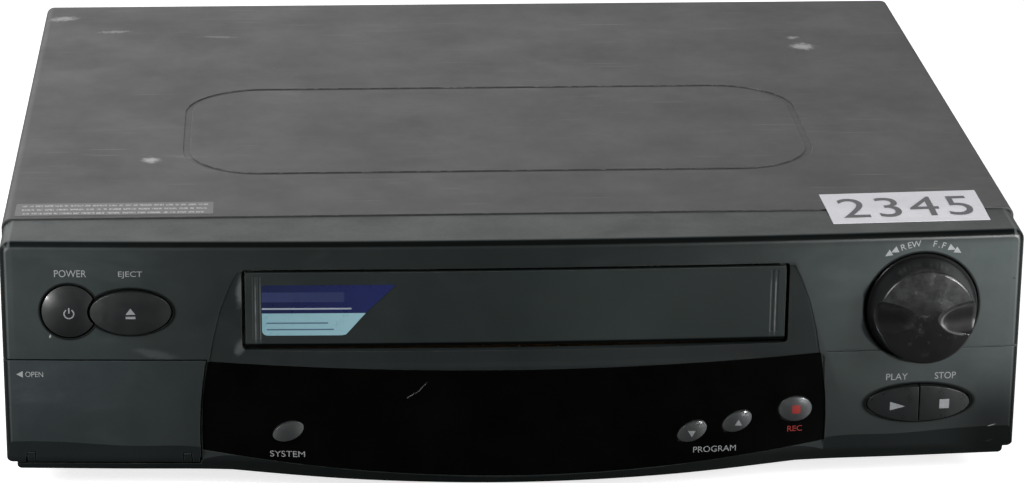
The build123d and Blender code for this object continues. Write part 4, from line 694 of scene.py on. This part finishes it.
word("label_power", "POWER", -160.5, -149.4, 80.1, 82.7, FACE)
word("label_eject", "EJECT", -138.4, -130.1, 79.7, 82.3, FACE)
word("label_play", "PLAY", 131.8, 139.6, 37.6, 40.0, FACE)
word("label_stop", "STOP", 149.4, 157.0, 37.5, 40.0, FACE)
word("label_rec", "REC", 96.9, 102.2, 19.2, 21.3, WIN, mat=INK_RED)
word("label_program", "PROGRAM", 63.0, 78.4, 13.1, 15.3, WIN)
word("label_system", "SYSTEM", -86.7, -74.4, 13.4, 15.6, WIN)
word("label_open", "OPEN", -171.7, -165.5, 42.9, 44.9, ("av_flap",), body="av_flap")


def poly(points):
    bm = bmesh.new()
    bm.faces.new([bm.verts.new((x * MM, 0, z * MM)) for x, z in points])
    return bm


def shape(name, points, nodes, body, mat=None, size=0.0006):
    return finish_piece(name, poly(points), mat or INK, body, nodes, size=size)


shape("arrow_open", [(-174.9, 43.9), (-172.6, 45.1), (-172.6, 42.7)], ("av_flap",), "av_flap")
DX, DZ = 143.4, 64.9


def on_arc(r, deg):
    a = math.radians(deg)
    return DX + r * math.sin(a), DZ + r * math.cos(a)


def arc_word(name, s, r_mid, deg_mid, height, pitch_deg):
    """Letters set one by one round the dial. Degrees run clockwise from straight up."""
    out = bmesh.new()
    for i, ch in enumerate(s):
        deg = deg_mid + (i - (len(s) - 1) / 2.0) * pitch_deg
        bm = text_bm(ch)
        a, b, c, d = extent(bm)
        k = height / 0.7
        if ch == ".":
            k = height / 0.7
        cx, cz = on_arc(r_mid, deg)
        t = -math.radians(deg)
        base = 0.0
        for v in bm.verts:
            lx = (v.co.x - (a + b) / 2) * k
            ly = (v.co.y - 0.35) * k
            x = cx + lx * math.cos(t) - ly * math.sin(t)
            z = cz + lx * math.sin(t) + ly * math.cos(t)
            v.co = Vector((x * MM, 0, z * MM))
        me = bpy.data.meshes.new("tmp")
        bm.to_mesh(me)
        bm.free()
        out.from_mesh(me)
        bpy.data.meshes.remove(me)
    return finish_piece(name, out, INK, "recorder", FACE)


arc_word("label_rewind", "REW", 23.9, -12.8, 2.3, 5.6)
arc_word("label_forward", "F.F", 23.9, 13.0, 2.3, 3.9)


def arc_triangles(name, r, degs, sense, half=1.25, length=2.6):
    out = bmesh.new()
    for deg in degs:
        cx, cz = on_arc(r, deg)
        t = -math.radians(deg)
        pts = []
        for lx, ly in ((sense * length / 2, 0), (-sense * length / 2, half), (-sense * length / 2, -half)):
            pts.append(((cx + lx * math.cos(t) - ly * math.sin(t)) * MM, 0, (cz + lx * math.sin(t) + ly * math.cos(t)) * MM))
        out.faces.new([out.verts.new(p) for p in pts])
    return finish_piece(name, out, INK, "recorder", FACE)


arc_triangles("arrows_rewind", 23.9, (-32.6, -26.6), -1)
arc_triangles("arrows_forward", 23.9, (24.6, 30.6), 1)

# symbols on the buttons
shape("symbol_play", [(133.4, 29.8), (138.8, 28.2), (133.4, 26.6)], ("play_button",), "play_button", mat=INK_PALE)
shape("symbol_stop", [(151.2, 30.4), (154.7, 30.4), (154.7, 26.9), (151.2, 26.9)], ("stop_button",), "stop_button", mat=INK_PALE)
shape("symbol_record", [(98.3, 29.5), (101.2, 29.5), (101.2, 26.4), (98.3, 26.4)], ("rec_button",), "rec_button", mat=INK_RED)
shape("symbol_up", [(78.9, 25.5), (80.2, 23.1), (77.6, 23.1)], ("program_up_button",), "program_up_button", mat=INK_PALE)
shape("symbol_down", [(62.2, 19.5), (63.6, 21.9), (60.8, 21.9)], ("program_down_button",), "program_down_button", mat=INK_PALE)
shape("symbol_eject", [(-134.4, 69.3), (-132.7, 67.0), (-136.1, 67.0)], ("eject_button",), "eject_button", mat=INK_PALE)
shape("symbol_eject_bar", [(-136.1, 66.3), (-132.7, 66.3), (-132.7, 65.4), (-136.1, 65.4)], ("eject_button",), "eject_button", mat=INK_PALE)


def ring_arc(cx, cz, r0, r1, a0, a1, n=28):
    bm = bmesh.new()
    pr = None
    for i in range(n + 1):
        a = math.radians(a0 + (a1 - a0) * i / n)
        q = (bm.verts.new(((cx + r0 * math.sin(a)) * MM, 0, (cz + r0 * math.cos(a)) * MM)),
             bm.verts.new(((cx + r1 * math.sin(a)) * MM, 0, (cz + r1 * math.cos(a)) * MM)))
        if pr:
            bm.faces.new((pr[0], pr[1], q[1], q[0]))
        pr = q
    return bm


PX_, PZ_ = -155.7, 67.2
finish_piece("symbol_power_ring", ring_arc(PX_, PZ_, 1.45, 1.9, 34, 326), INK_PALE, "power_button", ("power_button",))
shape("symbol_power_bar", [(PX_ - 0.24, PZ_ + 2.2), (PX_ + 0.24, PZ_ + 2.2), (PX_ + 0.24, PZ_ + 0.2), (PX_ - 0.24, PZ_ + 0.2)], ("power_button",), "power_button", mat=INK_PALE)


# ------------------------------------------------------------------ stickers and labels
def rounded(x0, x1, y0, y1, r, n=6):
    pts = []
    for cx, cy, a0 in ((x1 - r, y1 - r, 0), (x0 + r, y1 - r, 90), (x0 + r, y0 + r, 180), (x1 - r, y0 + r, 270)):
        for i in range(n + 1):
            a = math.radians(a0 + 90.0 * i / n)
            pts.append((cx + r * math.cos(a), cy + r * math.sin(a)))
    return pts


def sticker(name, pts, nodes, body, mat, top=False, lift=0.00012, size=0.004, stiff=False):
    """A thin sheet with a real edge, laid on a surface."""
    bm = bmesh.new()
    if top:
        bm.faces.new([bm.verts.new((x * MM, y * MM + SH, 0)) for x, y in pts])
    else:
        bm.faces.new([bm.verts.new((x * MM, 0, z * MM)) for x, z in pts])
    fine(bm, size)
    if stiff:
        lay_top_stiff(bm, nodes, lift)
    elif top:
        lay_top(bm, nodes, lift)
    else:
        lay_front(bm, nodes, lift)
    ret = bmesh.ops.extrude_face_region(bm, geom=bm.faces[:])
    for v in [g for g in ret["geom"] if isinstance(g, bmesh.types.BMVert)]:
        if top:
            v.co.z -= lift * 0.8
        else:
            v.co.y += lift * 0.8
    bmesh.ops.recalc_face_normals(bm, faces=bm.faces[:])
    ob = new_mesh(name, bm)
    ob.data.materials.append(mat)
    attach(ob, body)
    return ob


# door sticker: a dark field over a pale one, both cut on the slant at the right
m = Mat("door_sticker", (0.1, 0.1, 0.2), 0.3, spec=0.5, coat=0.3)
x, y, z = m.xyz()
navy = m.mix((0.014, 0.019, 0.062), (0.020, 0.027, 0.115), m.rng(x, -0.0900, -0.0480))
navy = m.mix(navy, (0.035, 0.045, 0.12), m.math("MULTIPLY", m.rng(m.math("ABSOLUTE", m.math("SUBTRACT", z, 0.0726)), 0.0019, 0.0017), m.rng(x, -0.0600, -0.0605)))
pale = m.mix((0.24, 0.42, 0.48), (0.33, 0.55, 0.62), m.rng(x, -0.0900, -0.0480))
col = m.mix(pale, navy, m.rng(z, 0.06655, 0.06670))
rule = m.rng(m.math("ABSOLUTE", m.math("SUBTRACT", z, 0.0683)), 0.00034, 0.00026)
rule = m.math("MULTIPLY", rule, m.rng(x, -0.0575, -0.0580))
col = m.mix(col, (0.42, 0.48, 0.55), m.math("MULTIPLY", rule, 0.8))
for zc, xe in ((0.0630, -0.0660), (0.0606, -0.0640)):
    ln = m.rng(m.math("ABSOLUTE", m.math("SUBTRACT", z, zc)), 0.00030, 0.00022)
    ln = m.math("MULTIPLY", ln, m.math("MULTIPLY", m.rng(x, -0.0874, -0.0872), m.rng(x, xe + 0.0002, xe)))
    col = m.mix(col, (0.025, 0.045, 0.12), m.math("MULTIPLY", ln, 0.75))
col = m.mix(col, m.scale_col(col, 0.7), m.math("MULTIPLY", m.rng(m.noise(300.0, 5.0, 0.7), 0.5, 0.7), 0.25))
STICK = m.done(col, m.rng(m.noise(120.0, 4.0), 0.3, 0.7, 0.24, 0.36))
pts = [(-42.6, 77.0)] + [(-88.3, 77.0), (-88.9, 76.4)]
pts += [(-88.9 + 1.9 * (1 - math.cos(t)), 60.3 - 1.9 * math.sin(t)) for t in [math.pi / 2 * k / 6 for k in range(7)]]
pts += [(-61.0, 58.4), (-59.6, 58.75), (-52.8, 66.6), (-42.6, 76.6)]
sticker("door_sticker", pts, ("cassette_door",), "cassette_door", STICK, size=0.003)

# inventory label: white paper with a plain printed number
m = Mat("paper_label", (0.62, 0.62, 0.64), 0.6)
f = m.rng(m.noise(60.0, 5.0, 0.7), 0.3, 0.7, 0.93, 1.04)
col = m.scale_col((0.74, 0.74, 0.775), f)
fib = m.rng(m.noise(2500.0, 2.0), 0.3, 0.7, 0.97, 1.03)
col = m.scale_col(col, fib)
edge_d = m.rng(m.noise(420.0, 4.0, 0.7), 0.62, 0.72)
col = m.mix(col, (0.30, 0.30, 0.30), m.math("MULTIPLY", edge_d, 0.25))
m.lift(m.math("MULTIPLY", m.noise(140.0, 3.0), 0.10))
PAPER = m.done(col, m.rng(m.noise(200.0, 3.0), 0.3, 0.7, 0.5, 0.7))
COVERN = ("top_cover", "front_fascia")
LAB = [(111.9, 39.8), (112.6, 8.7), (169.0, 11.2), (169.1, 42.8)]
sticker("inventory_label", LAB, COVERN, "recorder", PAPER, top=True, lift=0.00016, size=0.002, stiff=True)


def lab_xy(u, v):
    """Label's own square, u to the right and v up, to the front frame."""
    a, b, c, d = LAB[1], LAB[2], LAB[3], LAB[0]
    return ((a[0] * (1 - u) + b[0] * u) * (1 - v) + (d[0] * (1 - u) + c[0] * u) * v,
            (a[1] * (1 - u) + b[1] * u) * (1 - v) + (d[1] * (1 - u) + c[1] * u) * v)


INK_NUM = ink("ink_number", (0.12, 0.12, 0.13), 0.55)
bm = text_bm("2345", spacing=1.12, bold=0.0)
a, b, c, d = extent(bm)
for v in bm.verts:
    px, py = lab_xy(0.085 + (v.co.x - a) / (b - a) * 0.84, 0.17 + (v.co.y - c) / (d - c) * 0.64)
    v.co = Vector((px * MM, py * MM + SH, 0))
finish_piece("label_number", bm, INK_NUM, "recorder", ("inventory_label",), lift=0.00008, size=0.0012, top=True)

# worn strip on the left of the cover, printed with rows of plain dashes
m = Mat("strip_film", (0.16, 0.16, 0.16), 0.4, spec=0.5)
f = m.rng(m.noise(90.0, 5.0, 0.7), 0.3, 0.7, 0.92, 1.08)
FILM = m.done(m.scale_col((0.135, 0.135, 0.135), f), 0.38)
sticker("strip_label", rounded(-175.6, -105.8, 26.9, 40.0, 0.8), ("top_cover",), "recorder", FILM, top=True, lift=0.00008, size=0.01)
bm = bmesh.new()
for row in range(3):
    yy = 37.2 - row * 4.1
    xx = -173.6 + rnd.random()
    while xx < -108.0:
        w = rnd.uniform(1.0, 5.2)
        if xx + w > -107.2:
            break
        q = [(xx, yy - 0.85), (xx + w, yy - 0.85), (xx + w, yy + 0.85), (xx, yy + 0.85)]
        bm.faces.new([bm.verts.new((a * MM, b * MM + SH, 0)) for a, b in q])
        xx += w + rnd.uniform(0.55, 1.0)
m = Mat("strip_marks", (0.3, 0.3, 0.3), 0.45)
g = m.rng(m.noise(1.0, 2.0, 0.6, vec=m.scaled(1500.0, 700.0, 1.0)), 0.42, 0.55, 0.0, 1.0)
MARKS = m.done(m.mix((0.20, 0.20, 0.20), (0.50, 0.50, 0.50), g), 0.45)
finish_piece("strip_marks", bm, MARKS, "recorder", ("top_cover",), lift=0.00010, size=0.004, top=True)

# ------------------------------------------------------------------ floor, light, camera
bm = bmesh.new()
bmesh.ops.create_grid(bm, x_segments=8, y_segments=8, size=9.0)
floor = new_mesh("studio_floor", bm)
m = Mat("studio_floor", (0.9, 0.9, 0.9), 0.8, spec=0.0)
f = m.rng(m.noise(3.0, 3.0), 0.3, 0.7, 0.995, 1.0)
m.b.inputs["Emission Color"].default_value = (1, 1, 1, 1)
m.b.inputs["Emission Strength"].default_value = 0.75
floor.data.materials.append(m.done(m.scale_col((0.90, 0.90, 0.90), f), 0.8))
floor.visible_glossy = False
floor.visible_diffuse = False

world = bpy.data.worlds.new("studio")
S.world = world
world.use_nodes = True
wt = world.node_tree
bg = wt.nodes["Background"]
tc = wt.nodes.new("ShaderNodeTexCoord")
sx = wt.nodes.new("ShaderNodeSeparateXYZ")
wt.links.new(tc.outputs["Generated"], sx.inputs[0])


def wm(op, a, b=None, clamp=False):
    n = wt.nodes.new("ShaderNodeMath")
    n.operation = op
    n.use_clamp = clamp
    for i, v in enumerate((a, b)):
        if v is None:
            continue
        if isinstance(v, (int, float)):
            n.inputs[i].default_value = v
        else:
            wt.links.new(v, n.inputs[i])
    return n.outputs[0]


def wr(v, a, b, c, d):
    n = wt.nodes.new("ShaderNodeMapRange")
    n.interpolation_type = "SMOOTHSTEP"
    wt.links.new(v, n.inputs["Value"])
    for k, q in zip(("From Min", "From Max", "To Min", "To Max"), (a, b, c, d)):
        n.inputs[k].default_value = q
    return n.outputs["Result"]


X_, Y_, Z_ = sx.outputs
above = wm("MULTIPLY", wr(Y_, -0.35, 0.55, 0.10, 0.95), wr(Z_, 0.40, 0.85, 1.0, 0.16))
above = wm("MULTIPLY", above, wr(X_, -0.25, 0.40, 1.28, 0.52))
low = wm("ADD", 0.012, wm("MULTIPLY", wr(X_, 0.25, 0.8, 0.0, 1.0), 0.9))   # what glossy faces see below the table line
low = wm("ADD", low, wm("MULTIPLY", wr(X_, -0.35, -0.8, 0.0, 1.0), 0.7))
val = wm("ADD", wm("MULTIPLY", above, wr(Z_, -0.05, 0.02, 0.0, 1.0)), wm("MULTIPLY", low, wr(Z_, -0.05, 0.02, 1.0, 0.0)))
wt.links.new(val, bg.inputs["Strength"])
bg.inputs["Color"].default_value = (1, 1, 1, 1)


def area(name, loc, target, size, energy, color=(1, 1, 1), shape_="RECTANGLE"):
    li = bpy.data.lights.new(name, "AREA")
    li.shape = shape_
    li.size, li.size_y = size
    li.energy = energy
    li.color = color
    ob = bpy.data.objects.new(name, li)
    S.collection.objects.link(ob)
    ob.location = loc
    d = Vector(target) - Vector(loc)
    ob.rotation_euler = d.to_track_quat("-Z", "Y").to_euler()
    return ob


area("soft_left", (-1.10, -0.60, 0.80), (0, 0, 0.05), (0.7, 0.7), 14.0)
area("soft_right", (1.05, -0.80, 0.55), (0.05, -0.1, 0.05), (0.5, 0.7), 12.0)


def pool(name, loc, target, half, energy, wide=1.0):
    """A soft-edged spot."""
    li = bpy.data.lights.new(name, "SPOT")
    li.spot_size = 2 * math.atan(half / (Vector(target) - Vector(loc)).length)
    li.spot_blend = 1.0
    li.shadow_soft_size = 0.06
    li.energy = energy
    ob = bpy.data.objects.new(name, li)
    S.collection.objects.link(ob)
    ob.location = loc
    ob.rotation_euler = (Vector(target) - Vector(loc)).to_track_quat("-Z", "Y").to_euler()
    ob.scale = (wide, 1, 1)


pool("pool_right", (0.62, -1.05, 0.16), W(180, 0, 86), 0.066, 44.0, 1.9)
pool("pool_left", (-0.85, -0.95, 0.14), W(-184, 0, 64), 0.080, 27.0, 1.3)

cd = bpy.data.cameras.new("camera")
cam = bpy.data.objects.new("camera", cd)
S.collection.objects.link(cam)
pitch, yaw, roll = 0.331541, 0.0680871, 0.00995371
fwd = Vector((math.sin(yaw) * math.cos(pitch), math.cos(yaw) * math.cos(pitch), -math.sin(pitch)))
right = Vector((math.cos(yaw), -math.sin(yaw), 0))
upv = right.cross(fwd)
r2 = math.cos(roll) * right + math.sin(roll) * upv
u2 = -math.sin(roll) * right + math.cos(roll) * upv
mw = Matrix(((r2.x, u2.x, -fwd.x, -0.081471), (r2.y, u2.y, -fwd.y, -1.168655 + SH), (r2.z, u2.z, -fwd.z, 0.501954), (0, 0, 0, 1)))
cam.matrix_world = mw
cd.sensor_fit = "HORIZONTAL"
cd.sensor_width = 36.0
cd.lens = 3562.576 / 1024 * 36
cd.shift_x = (512 - 511.767) / 1024
cd.shift_y = (219.685 - 241.5) / 1024
cd.clip_start = 0.05
cd.clip_end = 30
S.camera = cam
S.view_settings.view_transform = "Standard"
